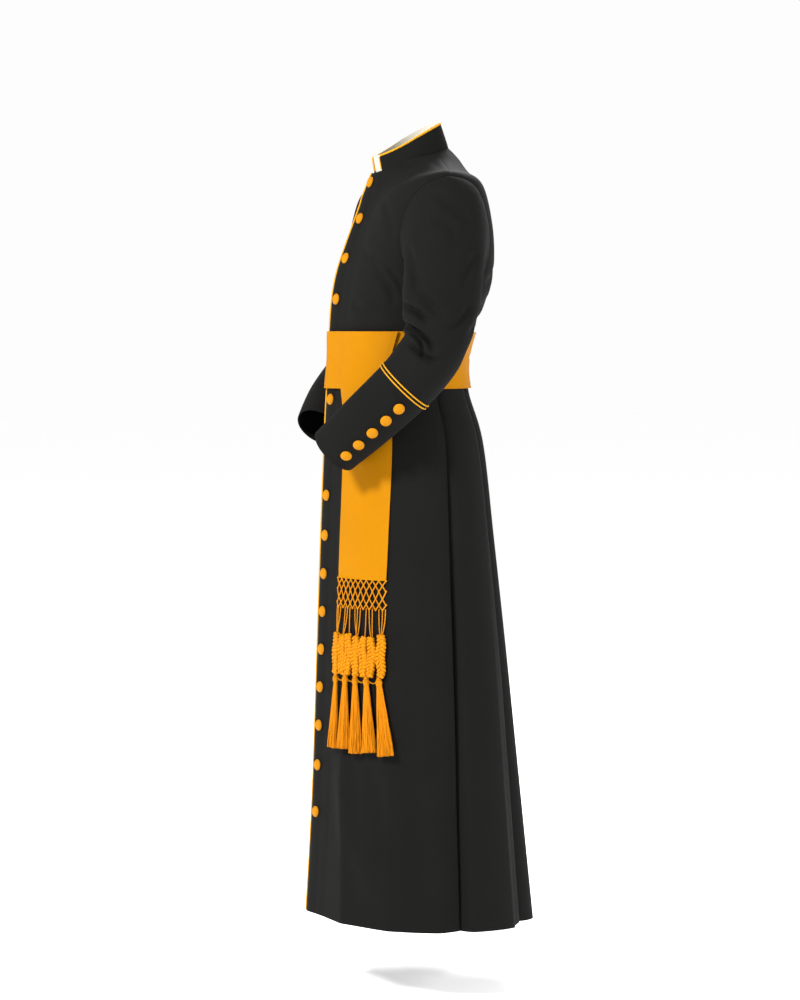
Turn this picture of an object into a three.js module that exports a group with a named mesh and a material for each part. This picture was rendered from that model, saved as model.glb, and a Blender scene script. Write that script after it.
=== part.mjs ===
// A clergy cassock with its own cincture, in the hollow form it keeps when it is worn with the
// forearms brought together in front.
// Millimetres and degrees. The wearer faces -Y, with +X to the wearer's left and +Z up. The origin
// is where neck and shoulders hold the cassock: on the shoulder line, midway between the shoulder
// tips, level with the collar seam.
//
// The body is one polar form. A turn is the angle round it: 0 is the middle of the front, 90 the
// wearer's left side, 180 the middle of the back. A level is a place in the table of rings, from the
// neck seam (0) to the hem (14). Every panel is a patch of that form between two seams, given the
// thickness of its cloth.
import * as THREE from "three";

const cloth = 2; // worsted suiting with its interlining
const seamGap = 0.3;
const lieOn = 0.8; // clearance under a piece that lies on another
const band = { top: -315, foot: -420, thick: 2.5, clear: 3.4, wrap: 60 };
const overlap = { edge: 20, lift: 3, fade: 48 };
const ridge = { middle: -14, height: 9, reach: 42, fade: 45 }; // the stiff front edge stands proud
const waistSeam = 8.7; // a level, hidden by the band
const lastLevel = 14;

// ---- tables ----

function table(names, rows) {
  return rows.map((row) => Object.fromEntries(names.map((name, i) => [name, row[i]])));
}

const bodyRings = table(
  ["side", "front", "back", "middle", "zFront", "zSide", "zBack", "square"],
  [
    [64, -76, 61, -6, -24, 4, 24, 2.0], // neck seam
    [100, -80, 79, 0, -46, -10, 4, 1.9],
    [150, -86, 94, 4, -78, -24, -24, 1.9],
    [202, -99, 117, 6, -116, -38, -64, 2.0], // shoulder tip, the armhole's top
    [196, -115, 132, 8, -158, -110, -118, 2.2],
    [181, -131, 136, 7, -205, -185, -178, 2.4],
    [167, -140, 129, 2, -250, -246, -238, 2.4], // the armhole's foot
    [160, -145, 104, -12, -305, -305, -305, 2.2],
    [155, -146, 89, -25, -366, -366, -368, 2.1], // waist
    [158, -151, 94, -27, -425, -425, -428, 2.1],
    [176, -156, 122, -14, -520, -520, -522, 2.0],
    [192, -163, 143, -8, -700, -700, -702, 2.0],
    [207, -171, 169, 0, -930, -930, -934, 2.0],
    [222, -180, 196, 6, -1180, -1182, -1190, 2.0],
    [236, -192, 219, 12, -1392, -1398, -1411, 2.0], // hem
  ],
);

// A pleat is a sharp valley between two rounded lobes; a negative depth makes a soft ridge. Turns and
// depths run from the band's foot to the hem; before and after are the reach of the two lobes there.
const pleats = table(
  ["turnTop", "turnFoot", "deepTop", "deepFoot", "before", "after"],
  [
    [100, 92, 6, 34, 40, 34],
    [136, 135.5, 9, 62, 52, 95],
    [-102, -95, 6, 30, 44, 36],
    [-134, -135, 8, 54, 90, 56],
    [181, 178, 6, 26, 60, 52],
    [20, 33, 0, -7, 60, 70],
    [62, 60, 0, -6, 80, 60],
    [-24, -20, 0, -9, 44, 50],
    [-60, -58, 0, -7, 70, 70],
  ],
);

// The seam between front and back on the left: over the shoulder, then, below the armhole, down the side.
const sideSeam = table(
  ["level", "turn"],
  [
    [0, 121],
    [1, 106],
    [2, 97],
    [3, 91],
    [6, 97],
    [8, 98],
    [9, 96],
    [14, 88],
  ],
);

const armhole = { top: 3, foot: 6, turnTop: 91, turnFoot: 97, before: 30, after: 30, stitches: 16 };

// The left sleeve's tube from the foot of its head to the wrist: the middle of each ring, half its
// width from front to back and half its thickness from the body outwards.
const sleeveRings = table(
  ["x", "y", "z", "across", "thick"],
  [
    [222, -11, -252, 72, 48],
    [226, -17, -298, 66, 49],
    [227, -26, -342, 58, 50],
    [222, -50, -379, 57, 49],
    [212, -77, -412, 55, 47], // top of the cuff
    [179, -136, -474, 52, 44],
    [126, -185, -530, 47, 40], // wrist
  ],
);
const cuffTop = 4;
const wristEnd = 6;
// The right wrist is held above the left one and nearer to the body.
const rightWrist = { out: 34, back: 42, rise: 34, from: 2.4 };
const headDrop = 0.88; // how squarely the sleeve head turns down from the shoulder

const collarTop = {
  side: 57, front: -82, back: 48, middle: -14, zFront: 1, zSide: 35, zBack: 66, square: 2.0, bow: 1,
};
const collar = { thick: 2.5, notch: 30 };
const insert = { thick: 1.5, clear: 1.9, rise: 5, slit: 1.2 };

const piping = { radius: 1.6, sides: 6 };
const braid = { thick: 1.6, width: 9, clear: 2.2 };
const button = { radius: 10.3, height: 6.5, facets: 8, inset: 24 };
const frontButtonHeights = [
  -41, -108, -181, -256, -440, -530, -617, -691, -762, -832, -902, -972, -1043, -1117, -1204,
];
const cuffButtons = { count: 5, turn: -13, first: 0.18, last: 0.79 };

// The hanging end of the cincture and its fringe: the turns of its two edges at distances below the origin.
const fallEdges = table(
  ["below", "before", "after"],
  [
    [315, 25.5, 69.5],
    [765, 22.6, 61],
    [942, 21, 60.5],
    [1078, 20, 65],
  ],
);
const fall = { foot: -765, thick: 2, columns: 6 };
const fringe = { netFoot: -826, cordFoot: -942, thick: 4, tasselFoot: -1078 };
const tassels = { count: 5, neck: 5, flare: 12, flat: 0.62, facets: 10 };

const black = { color: 0x26262a, roughness: 0.9, metalness: 0 };
const gold = { color: 0xf7a313, roughness: 0.55, metalness: 0 };
const white = { color: 0xf4f1e8, roughness: 0.8, metalness: 0 };

// ---- numbers and points ----

const radians = (degrees) => (degrees * Math.PI) / 180;
const mix = (a, b, share) => a + (b - a) * share;
const clamp = (x, low = 0, high = 1) => Math.min(high, Math.max(low, x));
const steps = (count) => Array.from({ length: count + 1 }, (_, i) => i / count);

// A smooth value between the rows of a table that are numbered 0, 1, 2 and so on.
function between(rows, name, place) {
  const at = clamp(place, 0, rows.length - 1);
  const i = Math.min(Math.floor(at), rows.length - 2);
  const t = at - i;
  const [a, b, c, d] = [i - 1, i, i + 1, i + 2].map((k) => rows[clamp(k, 0, rows.length - 1)][name]);
  const [bend, twist] = [2 * a - 5 * b + 4 * c - d, 3 * b - a - 3 * c + d];
  return 0.5 * (2 * b + (c - a) * t + bend * t * t + twist * t ** 3);
}

// A value by straight lines between rows that state their own place.
function lineThrough(rows, key, name, place) {
  const next = rows.findIndex((row) => row[key] >= place);
  if (next <= 0) return rows[next < 0 ? rows.length - 1 : 0][name];
  const [low, high] = [rows[next - 1], rows[next]];
  return mix(low[name], high[name], (place - low[key]) / (high[key] - low[key]));
}

// ---- the body's form ----

function ringAt(level) {
  const names = Object.keys(bodyRings[0]);
  return Object.fromEntries(names.map((name) => [name, between(bodyRings, name, level)]));
}

function ringRadius(ring, turn) {
  const [s, c] = [Math.sin(radians(turn)), Math.cos(radians(turn))];
  const deep = c > 0 ? ring.middle - ring.front : ring.back - ring.middle;
  const power = ring.square;
  return (Math.abs(s / ring.side) ** power + Math.abs(c / deep) ** power) ** (-1 / power);
}

// A ring's height runs from its side to its front or back; a bow over 1 keeps it level for longer.
function ringPoint(ring, turn, lift = 0) {
  const [s, c] = [Math.sin(radians(turn)), Math.cos(radians(turn))];
  const radius = ringRadius(ring, turn) + lift;
  const z = mix(ring.zSide, c > 0 ? ring.zFront : ring.zBack, Math.abs(c) ** (ring.bow ?? 1.4));
  return new THREE.Vector3(radius * s, ring.middle - radius * c, z);
}

function nearestTurn(turn) {
  return ((((turn + 180) % 360) + 360) % 360) - 180;
}

// How far down the skirt a ring is: 0 at the band's foot, 1 at the hem.
function downSkirt(ring) {
  return clamp((band.foot - ring.zSide) / (band.foot - bodyRings[lastLevel].zSide));
}

function pleatLift(ring, turn) {
  const down = downSkirt(ring);
  const radius = ringRadius(ring, turn);
  let lift = 0;
  for (const pleat of pleats) {
    const away = radians(nearestTurn(turn - mix(pleat.turnTop, pleat.turnFoot, down))) * radius;
    const reach = (away < 0 ? pleat.before : pleat.after) * mix(0.45, 1, down);
    const near = clamp(1 - Math.abs(away) / reach);
    lift -= mix(pleat.deepTop, pleat.deepFoot, down) * near * near;
  }
  return ring.zSide > band.foot ? lift * clamp(1 - (ring.zSide - band.foot) / 40) : lift;
}

// The front edge's ridge, measured across from the middle of the front.
function ridgeLift(ring, turn) {
  if (Math.abs(nearestTurn(turn)) > 90) return 0;
  const across = Math.sin(radians(turn)) * ringRadius(ring, turn);
  const near = clamp(1 - Math.abs(across - ridge.middle) / ridge.reach);
  const belowNeck = clamp((bodyRings[0].zFront - ring.zFront) / ridge.fade);
  return ridge.height * belowNeck * near * near * (3 - 2 * near);
}

// The left front laps over the right one, so it is lifted near its edge.
function lapLift(ring, turn) {
  if (Math.abs(nearestTurn(turn)) > 90) return 0;
  const across = Math.sin(radians(turn)) * ringRadius(ring, turn);
  const near = clamp(1 - Math.abs(across) / overlap.fade);
  return overlap.lift * clamp(near * 2.2);
}

function bodyPoint(turn, level, { lap = false, pleated = true } = {}) {
  const ring = ringAt(level);
  let lift = ridgeLift(ring, turn);
  if (lap) lift += lapLift(ring, turn);
  if (pleated) lift += pleatLift(ring, turn);
  return ringPoint(ring, turn, lift);
}

function normalOf(surface, turn, level) {
  const [turnStep, levelStep] = [0.4, 0.02];
  const round = surface(turn + turnStep, level).sub(surface(turn - turnStep, level));
  const low = clamp(level + levelStep, 0, lastLevel);
  const high = clamp(level - levelStep, 0, lastLevel);
  const down = surface(turn, low).sub(surface(turn, high));
  return down.cross(round).normalize();
}

const lapSurface = (turn, level) => bodyPoint(turn, level, { lap: true });
const plainSurface = (turn, level) => bodyPoint(turn, level);
const bandSurface = (turn, level) => bodyPoint(turn, level, { lap: true, pleated: false });

function offsetPoint(surface, turn, level, out) {
  return surface(turn, level).addScaledVector(normalOf(surface, turn, level), out);
}

// The level whose ring is at a height, at a turn.
function levelAt(z, turn) {
  let [low, high] = [0, lastLevel];
  for (let i = 0; i < 30; i++) {
    const level = (low + high) / 2;
    if (ringPoint(ringAt(level), turn).z > z) low = level;
    else high = level;
  }
  return (low + high) / 2;
}

// The turn at which the front of a ring is a distance across from its middle line.
function frontTurn(level, across) {
  const ring = ringAt(level);
  return (Math.atan2(across, ring.middle - ring.front) * 180) / Math.PI;
}

// ---- seams ----

// A stitch is an angle round the armhole: 0 at the shoulder tip, 90 in front, 180 under the arm, 270
// behind.
function armholeAt(stitch, side) {
  const [s, c] = [Math.sin(radians(stitch)), Math.cos(radians(stitch))];
  const share = (1 - c) / 2;
  const reach = s > 0 ? armhole.before : armhole.after;
  const turn = mix(armhole.turnTop, armhole.turnFoot, share) - s * reach;
  return { level: mix(armhole.top, armhole.foot, share), turn: turn * side };
}

function stitchAt(level) {
  const share = clamp((level - armhole.top) / (armhole.foot - armhole.top));
  return (Math.acos(1 - 2 * share) * 180) / Math.PI;
}

// Where a front panel ends and, behind it, where a back panel starts, on the left side.
function sideEdge(level, behind) {
  if (level <= armhole.top || level >= armhole.foot) return lineThrough(sideSeam, "level", "turn", level);
  const stitch = stitchAt(level);
  return armholeAt(behind ? 360 - stitch : stitch, 1).turn;
}

function pleatTurn(pleat, level) {
  return mix(pleat.turnTop, pleat.turnFoot, downSkirt(ringAt(level)));
}

// ---- solids ----

function closedGeometry(points, quads) {
  const corners = quads.flatMap(([a, b, c, d]) => [a, b, c, a, c, d]);
  let volume = 0;
  for (let i = 0; i < corners.length; i += 3) {
    const [a, b, c] = [points[corners[i]], points[corners[i + 1]], points[corners[i + 2]]];
    volume += a.dot(b.clone().cross(c));
  }
  const geometry = new THREE.BufferGeometry().setFromPoints(points);
  geometry.setIndex(volume < 0 ? corners.reverse() : corners);
  geometry.computeVertexNormals();
  return geometry;
}

// A patch of cloth: outer and inner are grids of points, row by row.
function wall(outer, inner) {
  const [rows, columns] = [outer.length, outer[0].length];
  const points = [...outer.flat(), ...inner.flat()];
  const out = (r, c) => r * columns + c;
  const back = (r, c) => rows * columns + out(r, c);
  const quads = [];
  for (let r = 0; r + 1 < rows; r++) {
    for (let c = 0; c + 1 < columns; c++) {
      quads.push([out(r, c), out(r, c + 1), out(r + 1, c + 1), out(r + 1, c)]);
      quads.push([back(r, c), back(r + 1, c), back(r + 1, c + 1), back(r, c + 1)]);
    }
    quads.push([out(r, 0), out(r + 1, 0), back(r + 1, 0), back(r, 0)]);
    const last = columns - 1;
    quads.push([out(r, last), back(r, last), back(r + 1, last), out(r + 1, last)]);
  }
  for (let c = 0; c + 1 < columns; c++) {
    quads.push([out(0, c), back(0, c), back(0, c + 1), out(0, c + 1)]);
    quads.push([out(rows - 1, c), out(rows - 1, c + 1), back(rows - 1, c + 1), back(rows - 1, c)]);
  }
  return closedGeometry(points, quads);
}

// A tube of cloth: outer and inner are rings of points that close on themselves.
function hoop(outer, inner) {
  const [rows, columns] = [outer.length, outer[0].length];
  const points = [...outer.flat(), ...inner.flat()];
  const out = (r, c) => r * columns + (c % columns);
  const back = (r, c) => rows * columns + out(r, c);
  const quads = [];
  for (let c = 0; c < columns; c++) {
    for (let r = 0; r + 1 < rows; r++) {
      quads.push([out(r, c), out(r, c + 1), out(r + 1, c + 1), out(r + 1, c)]);
      quads.push([back(r, c), back(r + 1, c), back(r + 1, c + 1), back(r, c + 1)]);
    }
    quads.push([out(0, c), back(0, c), back(0, c + 1), out(0, c + 1)]);
    quads.push([out(rows - 1, c), out(rows - 1, c + 1), back(rows - 1, c + 1), back(rows - 1, c)]);
  }
  return closedGeometry(points, quads);
}

// A round cord along a run of points.
function cordAlong(points, radius, sides) {
  const path = new THREE.CatmullRomCurve3(points);
  const shape = new THREE.Shape();
  for (let i = 0; i < sides; i++) {
    const angle = (i * 2 * Math.PI) / sides;
    const [x, y] = [radius * Math.cos(angle), radius * Math.sin(angle)];
    if (i) shape.lineTo(x, y);
    else shape.moveTo(x, y);
  }
  const options = { steps: points.length - 1, extrudePath: path, bevelEnabled: false };
  return new THREE.ExtrudeGeometry(shape, options);
}

// Pulls the edges of a grid in by half a seam's gap: its first and last columns, top and foot, as asked.
function trimmed(grid, { sides = true, top = false, foot = false } = {}) {
  const pull = (from, to) => from.addScaledVector(to.clone().sub(from).normalize(), seamGap / 2);
  for (const row of grid) {
    if (!sides) break;
    pull(row[0], row[1]);
    pull(row.at(-1), row.at(-2));
  }
  if (top) grid[0].forEach((point, c) => pull(point, grid[1][c]));
  if (foot) grid.at(-1).forEach((point, c) => pull(point, grid.at(-2)[c]));
  return grid;
}

// A panel between two seams: turnsAt gives the turns of its columns at a level.
function panel(surface, levels, turnsAt, ends = {}) {
  const row = (level, out) => turnsAt(level).map((turn) => offsetPoint(surface, turn, level, out));
  const layer = (out) => levels.map((level) => row(level, out));
  return wall(trimmed(layer(cloth / 2), ends), trimmed(layer(-cloth / 2), ends));
}

// ---- body panels ----

const yokeLevels = [0, 0.5, 1, 2];
const armholeLevels = steps(armhole.stitches / 2).map((share) =>
  mix(armhole.top, armhole.foot, (1 - Math.cos(share * Math.PI)) / 2),
);
const bodiceLevels = [...yokeLevels, ...armholeLevels, 7, 8, waistSeam];
const skirtLevels = [waistSeam, 9.1, 9.5, 10, 11, 12, 13, lastLevel];
const lapAcross = [-20, -10, 0, 10, 20, 32, 48];
const frontShares = [0.18, 0.36, 0.54, 0.72, 0.88, 1];
const backShares = steps(7);
const goreShares = [0, 0.09, 0.2, 0.32, 0.45, 0.58, 0.7, 0.81, 0.91, 1];

// The fronts share the columns of their lap, so that one lies evenly on the other.
function frontPanel(surface, side) {
  const turnsAt = (level) => {
    const lap = lapAcross.map((across) => side * frontTurn(level, across));
    const rest = frontShares.map((share) => mix(lap.at(-1), side * sideEdge(level, false), share));
    return [...lap, ...rest];
  };
  return panel(surface, [...bodiceLevels, ...skirtLevels.slice(1)], turnsAt);
}

function bodiceBack(side) {
  const turnsAt = (level) => backShares.map((share) => side * mix(sideEdge(level, true), 180, share));
  return panel(plainSurface, bodiceLevels, turnsAt, { foot: true });
}

function skirtGore(from, to) {
  const turnsAt = (level) => goreShares.map((share) => mix(from(level), to(level), share));
  return panel(plainSurface, skirtLevels, turnsAt, { top: true });
}

// ---- sleeves ----

// The middle of a sleeve ring and the two directions that its oval is drawn on.
function sleeveFrame(place, side) {
  const middle = (at) => {
    const [x, y, z] = ["x", "y", "z"].map((name) => between(sleeveRings, name, at));
    const moved = side < 0 ? clamp((at - rightWrist.from) / (wristEnd - rightWrist.from)) : 0;
    const { out, back, rise } = rightWrist;
    return new THREE.Vector3((x + out * moved) * side, y + back * moved, z + rise * moved);
  };
  const along = (at) => {
    const [before, after] = [Math.max(at - 0.05, 0), Math.min(at + 0.05, wristEnd)];
    return middle(after).sub(middle(before)).normalize();
  };
  let [front, axis] = [new THREE.Vector3(0, -1, 0), along(0)];
  for (let i = 1; i <= 40; i++) {
    const next = along((place * i) / 40);
    front.applyQuaternion(new THREE.Quaternion().setFromUnitVectors(axis, next));
    axis = next;
  }
  front.addScaledVector(axis, -front.dot(axis)).normalize();
  const outward = front.clone().cross(axis).multiplyScalar(side);
  return { middle: middle(place), axis, front, outward };
}

function tubePoint(frame, stitch, across, thick) {
  return frame.middle
    .clone()
    .addScaledVector(frame.outward, thick * Math.cos(radians(stitch)))
    .addScaledVector(frame.front, across * Math.sin(radians(stitch)));
}

// A point of the sleeve, moved in by its depth in the cloth. A place below 0 is on the sleeve head,
// and -1 is the armhole.
function sleevePoint(place, stitch, side, depth) {
  const frame = sleeveFrame(Math.max(place, 0), side);
  const across = between(sleeveRings, "across", place) - depth;
  const thick = between(sleeveRings, "thick", place) - depth;
  const tube = tubePoint(frame, stitch, across, thick);
  if (place >= 0) return tube;
  const seam = armholeAt(stitch, side);
  const surface = side > 0 ? lapSurface : plainSurface;
  const start = offsetPoint(surface, seam.turn, seam.level, cloth / 2 - depth);
  const up = start.clone().sub(tube).dot(frame.axis) * headDrop;
  const bend = tube.clone().addScaledVector(frame.axis, up);
  const clear = bend.clone().sub(start).normalize();
  start.addScaledVector(clear, seamGap);
  const t = place + 1;
  return start
    .multiplyScalar((1 - t) ** 2)
    .addScaledVector(bend, 2 * t * (1 - t))
    .addScaledVector(tube, t * t);
}

const sleevePlaces = [-1, -0.8, -0.6, -0.4, -0.2, 0, 0.6, 1.2, 1.7, 2.2, 2.7, 3.2, 3.6, cuffTop];

// The two-piece sleeve: the top sleeve runs round the outside from the front seam to the back seam.
function sleevePiece(side, fromStitch, toStitch) {
  const count = Math.round((Math.abs(toStitch - fromStitch) / 360) * armhole.stitches);
  const layer = (depth) =>
    sleevePlaces.map((place) =>
      steps(count).map((share) => sleevePoint(place, mix(fromStitch, toStitch, share), side, depth)),
    );
  return wall(trimmed(layer(0), { foot: true }), trimmed(layer(cloth), { foot: true }));
}

// Rings of points round a sleeve at a depth in its cloth.
function sleeveRound(places, count, side, depth) {
  const stitches = steps(count).slice(0, -1).map((share) => share * 360);
  return places.map((place) => stitches.map((stitch) => sleevePoint(place, stitch, side, depth)));
}

function cuff(side) {
  const places = [cuffTop, 4.5, 5, 5.5, wristEnd];
  const layer = (depth) =>
    trimmed(sleeveRound(places, armhole.stitches, side, depth), { sides: false, top: true });
  return hoop(layer(0), layer(cloth));
}

function cuffBraid(side) {
  const [above, below] = [cuffTop - 0.5, cuffTop + 0.5].map((place) => sleeveFrame(place, 1).middle);
  const reach = braid.width / 2 / above.distanceTo(below);
  const layer = (depth) => sleeveRound([cuffTop - reach, cuffTop + reach], 24, side, depth);
  return hoop(layer(-braid.clear - braid.thick), layer(-braid.clear));
}

// ---- collar ----

function collarPoint(turn, share, depth) {
  const foot = ringPoint(ringAt(0), turn, cloth / 2 - depth);
  const head = ringPoint(collarTop, turn, -depth);
  const point = foot.lerp(head, share);
  point.z += cloth / 2 + seamGap * 2;
  return point;
}

function collarTurns(across, count) {
  const start = frontTurn(0, across);
  return steps(count).map((share) => mix(start, 360 - start, share));
}

function collarBand() {
  const turns = collarTurns(collar.notch, 26);
  const row = (share, depth) => turns.map((turn) => collarPoint(turn, share, depth));
  const layer = (depth) => [0, 0.5, 1].map((share) => row(share, depth));
  return wall(layer(0), layer(collar.thick));
}

function collarInsert() {
  const turns = collarTurns(insert.slit, 28);
  const inside = collar.thick + insert.clear;
  const layer = (depth) =>
    [0, 0.5, 1].map((share) =>
      turns.map((turn) => {
        const point = collarPoint(turn, share, depth);
        point.z += insert.rise * share;
        return point;
      }),
    );
  return wall(layer(inside), layer(inside + insert.thick));
}

function collarPiping() {
  const turns = collarTurns(collar.notch - 2.4, 28);
  const middle = collar.thick / 2;
  const above = new THREE.Vector3(0, 0, piping.radius + 0.4);
  const along = turns.map((turn) => collarPoint(turn, 1, middle).add(above));
  const down = (turn) => [0.15, 0.5, 0.85].map((share) => collarPoint(turn, share, middle));
  const points = [...down(turns[0]), ...along, ...down(turns.at(-1)).reverse()];
  return cordAlong(points, piping.radius, piping.sides);
}

// ---- front trim and buttons ----

function frontPiping() {
  const levels = [0.05, ...bodiceLevels.slice(1), ...skirtLevels.slice(1, -1), lastLevel - 0.02];
  const clear = piping.radius + seamGap + 0.2;
  const points = levels.map((level) => {
    return offsetPoint(lapSurface, frontTurn(level, -overlap.edge - clear), level, 1.3);
  });
  return cordAlong(points, piping.radius, piping.sides);
}

function domeGeometry() {
  const profile = [
    [0, 0],
    [button.radius * 0.92, 0],
    [button.radius, button.height * 0.35],
    [button.radius * 0.7, button.height * 0.85],
    [0, button.height],
  ].map(([x, y]) => new THREE.Vector2(x, y));
  return new THREE.LatheGeometry(profile, button.facets);
}

function buttonMesh(name, place, outward) {
  const mesh = new THREE.Mesh(domeGeometry(), new THREE.MeshStandardMaterial(gold));
  mesh.name = name;
  mesh.position.copy(place).addScaledVector(outward, seamGap + 0.3);
  mesh.quaternion.setFromUnitVectors(new THREE.Vector3(0, 1, 0), outward);
  return mesh;
}

function frontButtons() {
  return frontButtonHeights.map((height, i) => {
    const level = levelAt(height, 0);
    const turn = frontTurn(level, button.inset - overlap.edge);
    const outward = normalOf(lapSurface, turn, level);
    const place = offsetPoint(lapSurface, turn, level, cloth / 2);
    return buttonMesh(`button_front_${i + 1}`, place, outward);
  });
}

function cuffButtonMeshes(side, name) {
  const { count, turn, first, last } = cuffButtons;
  return steps(count - 1).map((share, i) => {
    const place = mix(cuffTop, wristEnd, mix(first, last, share));
    const at = sleevePoint(place, turn, side, 0);
    const round = sleevePoint(place, turn + 4, side, 0).sub(at);
    const along = sleevePoint(place + 0.05, turn, side, 0).sub(at);
    const outward = round.cross(along).normalize();
    const fromAxis = at.clone().sub(sleeveFrame(place, side).middle);
    if (outward.dot(fromAxis) < 0) outward.negate();
    return buttonMesh(`button_cuff_${name}_${i + 1}`, at, outward);
  });
}

// ---- cincture ----

function bandRing() {
  const turns = steps(band.wrap).slice(0, -1).map((share) => share * 360);
  const heights = [band.top, (band.top + band.foot) / 2, band.foot];
  const layer = (out) =>
    heights.map((z) => turns.map((turn) => offsetPoint(bandSurface, turn, levelAt(z, turn), out)));
  const inner = cloth / 2 + band.clear;
  return hoop(layer(inner + band.thick), layer(inner));
}

// A point of the hanging end, at a share of its width and a height, moved out from the cloth under it.
function fallPoint(share, z, out) {
  const [before, after] = ["before", "after"].map((name) => lineThrough(fallEdges, "below", name, -z));
  const turn = mix(before, after, share);
  const level = levelAt(z, turn);
  const overBand = (band.clear + band.thick) * clamp((z - band.foot + 60) / 60);
  return offsetPoint(lapSurface, turn, level, cloth / 2 + lieOn + 1 + overBand + out);
}

function fallPanel(heights, thick) {
  const row = (z, depth) => steps(fall.columns).map((share) => fallPoint(share, z, depth));
  const layer = (depth) => heights.map((z) => row(z, depth));
  return wall(layer(thick), layer(0));
}

// A tassel lies against the skirt, so it is flatter than it is wide.
function tassel(index) {
  const share = (index + 0.5) / tassels.count;
  const profile = [
    [0, 0],
    [tassels.flare, 0],
    [tassels.flare * 0.8, 0.55],
    [tassels.neck, 0.88],
    [tassels.neck * 1.3, 0.96],
    [0, 1],
  ];
  const foot = fallPoint(share, fringe.tasselFoot, tassels.flare * tassels.flat + 1);
  const top = fallPoint(share, fringe.cordFoot - 1.5, tassels.neck);
  const beside = fallPoint(share + 0.01, fringe.tasselFoot, tassels.flare * tassels.flat + 1);
  const length = top.distanceTo(foot);
  const up = top.sub(foot).normalize();
  const outward = beside.sub(foot).cross(up).normalize();
  const turned = new THREE.Matrix4().makeBasis(up.clone().cross(outward), up, outward);
  const points = profile.map(([radius, height]) => new THREE.Vector2(radius, height * length));
  const geometry = new THREE.LatheGeometry(points, tassels.facets).scale(1, 1, tassels.flat);
  return piece(`tassel_${index + 1}`, geometry.applyMatrix4(turned.setPosition(foot)), gold);
}

// ---- the whole cassock ----

function piece(name, geometry, finish) {
  const mesh = new THREE.Mesh(geometry, new THREE.MeshStandardMaterial(finish));
  mesh.name = name;
  return mesh;
}

// The seams of the back gores run just behind the second pleats.
const leftBackSeam = (level) => pleatTurn(pleats[1], level) + 4;
const rightBackSeam = (level) => pleatTurn(pleats[3], level) - 4;
const leftSideSeam = (level) => sideEdge(level, true);
const rightSideSeam = (level) => -sideEdge(level, true);

const fallHeights = [band.top, band.foot, -480, -560, -660, fall.foot];

const cassock = new THREE.Group();
cassock.add(
  piece("front_left", frontPanel(lapSurface, 1), black),
  piece("front_right", frontPanel(plainSurface, -1), black),
  piece("back_left", bodiceBack(1), black),
  piece("back_right", bodiceBack(-1), black),
  piece("skirt_side_left", skirtGore(leftSideSeam, leftBackSeam), black),
  piece("skirt_side_right", skirtGore(rightSideSeam, rightBackSeam), black),
  piece("skirt_back_left", skirtGore(leftBackSeam, () => 180), black),
  piece("skirt_back_right", skirtGore(rightBackSeam, () => -180), black),
  piece("collar", collarBand(), black),
  piece("collar_insert", collarInsert(), white),
  piece("collar_piping", collarPiping(), gold),
  piece("front_piping", frontPiping(), gold),
  piece("cincture_band", bandRing(), gold),
  piece("cincture_fall", fallPanel(fallHeights, fall.thick), gold),
  piece("fringe_net", fallPanel([fall.foot - seamGap, fringe.netFoot], fall.thick), gold),
  piece("fringe_cords", fallPanel([fringe.netFoot - seamGap, -884, fringe.cordFoot], fringe.thick), gold),
);
for (const [side, name] of [
  [1, "left"],
  [-1, "right"],
]) {
  cassock.add(
    piece(`sleeve_top_${name}`, sleevePiece(side, -112.5, 90), black),
    piece(`sleeve_under_${name}`, sleevePiece(side, 90, 247.5), black),
    piece(`cuff_${name}`, cuff(side), black),
    piece(`cuff_braid_${name}`, cuffBraid(side), gold),
    ...cuffButtonMeshes(side, name),
  );
}
cassock.add(...frontButtons());
for (let i = 0; i < tassels.count; i++) cassock.add(tassel(i));

export default cassock;
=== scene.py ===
# A black clergy cassock with gold trim and a fringed cincture, in the hollow form it keeps when it is worn.
# Sizes in the tables are millimetres and degrees; meshes are made in metres.
import math

import bmesh
import bpy
import numpy as np
from mathutils import Matrix, Vector


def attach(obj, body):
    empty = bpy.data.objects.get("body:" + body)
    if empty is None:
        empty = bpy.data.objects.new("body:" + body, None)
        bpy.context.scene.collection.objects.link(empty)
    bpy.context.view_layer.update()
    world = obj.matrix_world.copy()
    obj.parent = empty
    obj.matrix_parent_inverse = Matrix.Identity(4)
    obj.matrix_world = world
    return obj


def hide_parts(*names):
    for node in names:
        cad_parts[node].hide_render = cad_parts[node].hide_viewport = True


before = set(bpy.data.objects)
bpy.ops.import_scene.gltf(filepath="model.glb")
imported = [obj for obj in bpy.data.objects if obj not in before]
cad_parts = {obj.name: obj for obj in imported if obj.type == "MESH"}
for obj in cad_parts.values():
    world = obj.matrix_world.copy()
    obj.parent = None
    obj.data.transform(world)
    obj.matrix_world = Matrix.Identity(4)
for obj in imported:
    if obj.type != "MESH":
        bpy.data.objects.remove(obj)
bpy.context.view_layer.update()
mm = 0.001
cloth = 2.0


# Helpers for numbers and tables.

def namedColumns(names, rows):
    return {name: np.array([row[i] for row in rows], float) for i, name in enumerate(names.split())}


def between(column, place):  # a smooth value between rows numbered 0, 1, 2 and so on
    last = len(column) - 1
    at = np.clip(place, 0, last)
    i = np.minimum(np.floor(at).astype(int), last - 1)
    t = at - i
    a, b, c, d = (column[np.clip(i + k, 0, last)] for k in (-1, 0, 1, 2))
    return 0.5 * (2 * b + (c - a) * t + (2 * a - 5 * b + 4 * c - d) * t**2 + (3 * b - a - 3 * c + d) * t**3)


def mix(a, b, share):
    return a + (b - a) * share


def smooth(x):
    x = np.clip(x, 0, 1)
    return x * x * (3 - 2 * x)


def unit(v):
    return v / np.maximum(np.linalg.norm(v, axis=-1, keepdims=True), 1e-12)


# The body's form. A turn is an angle round it from the middle of the front, and a level is a row of this table.

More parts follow.
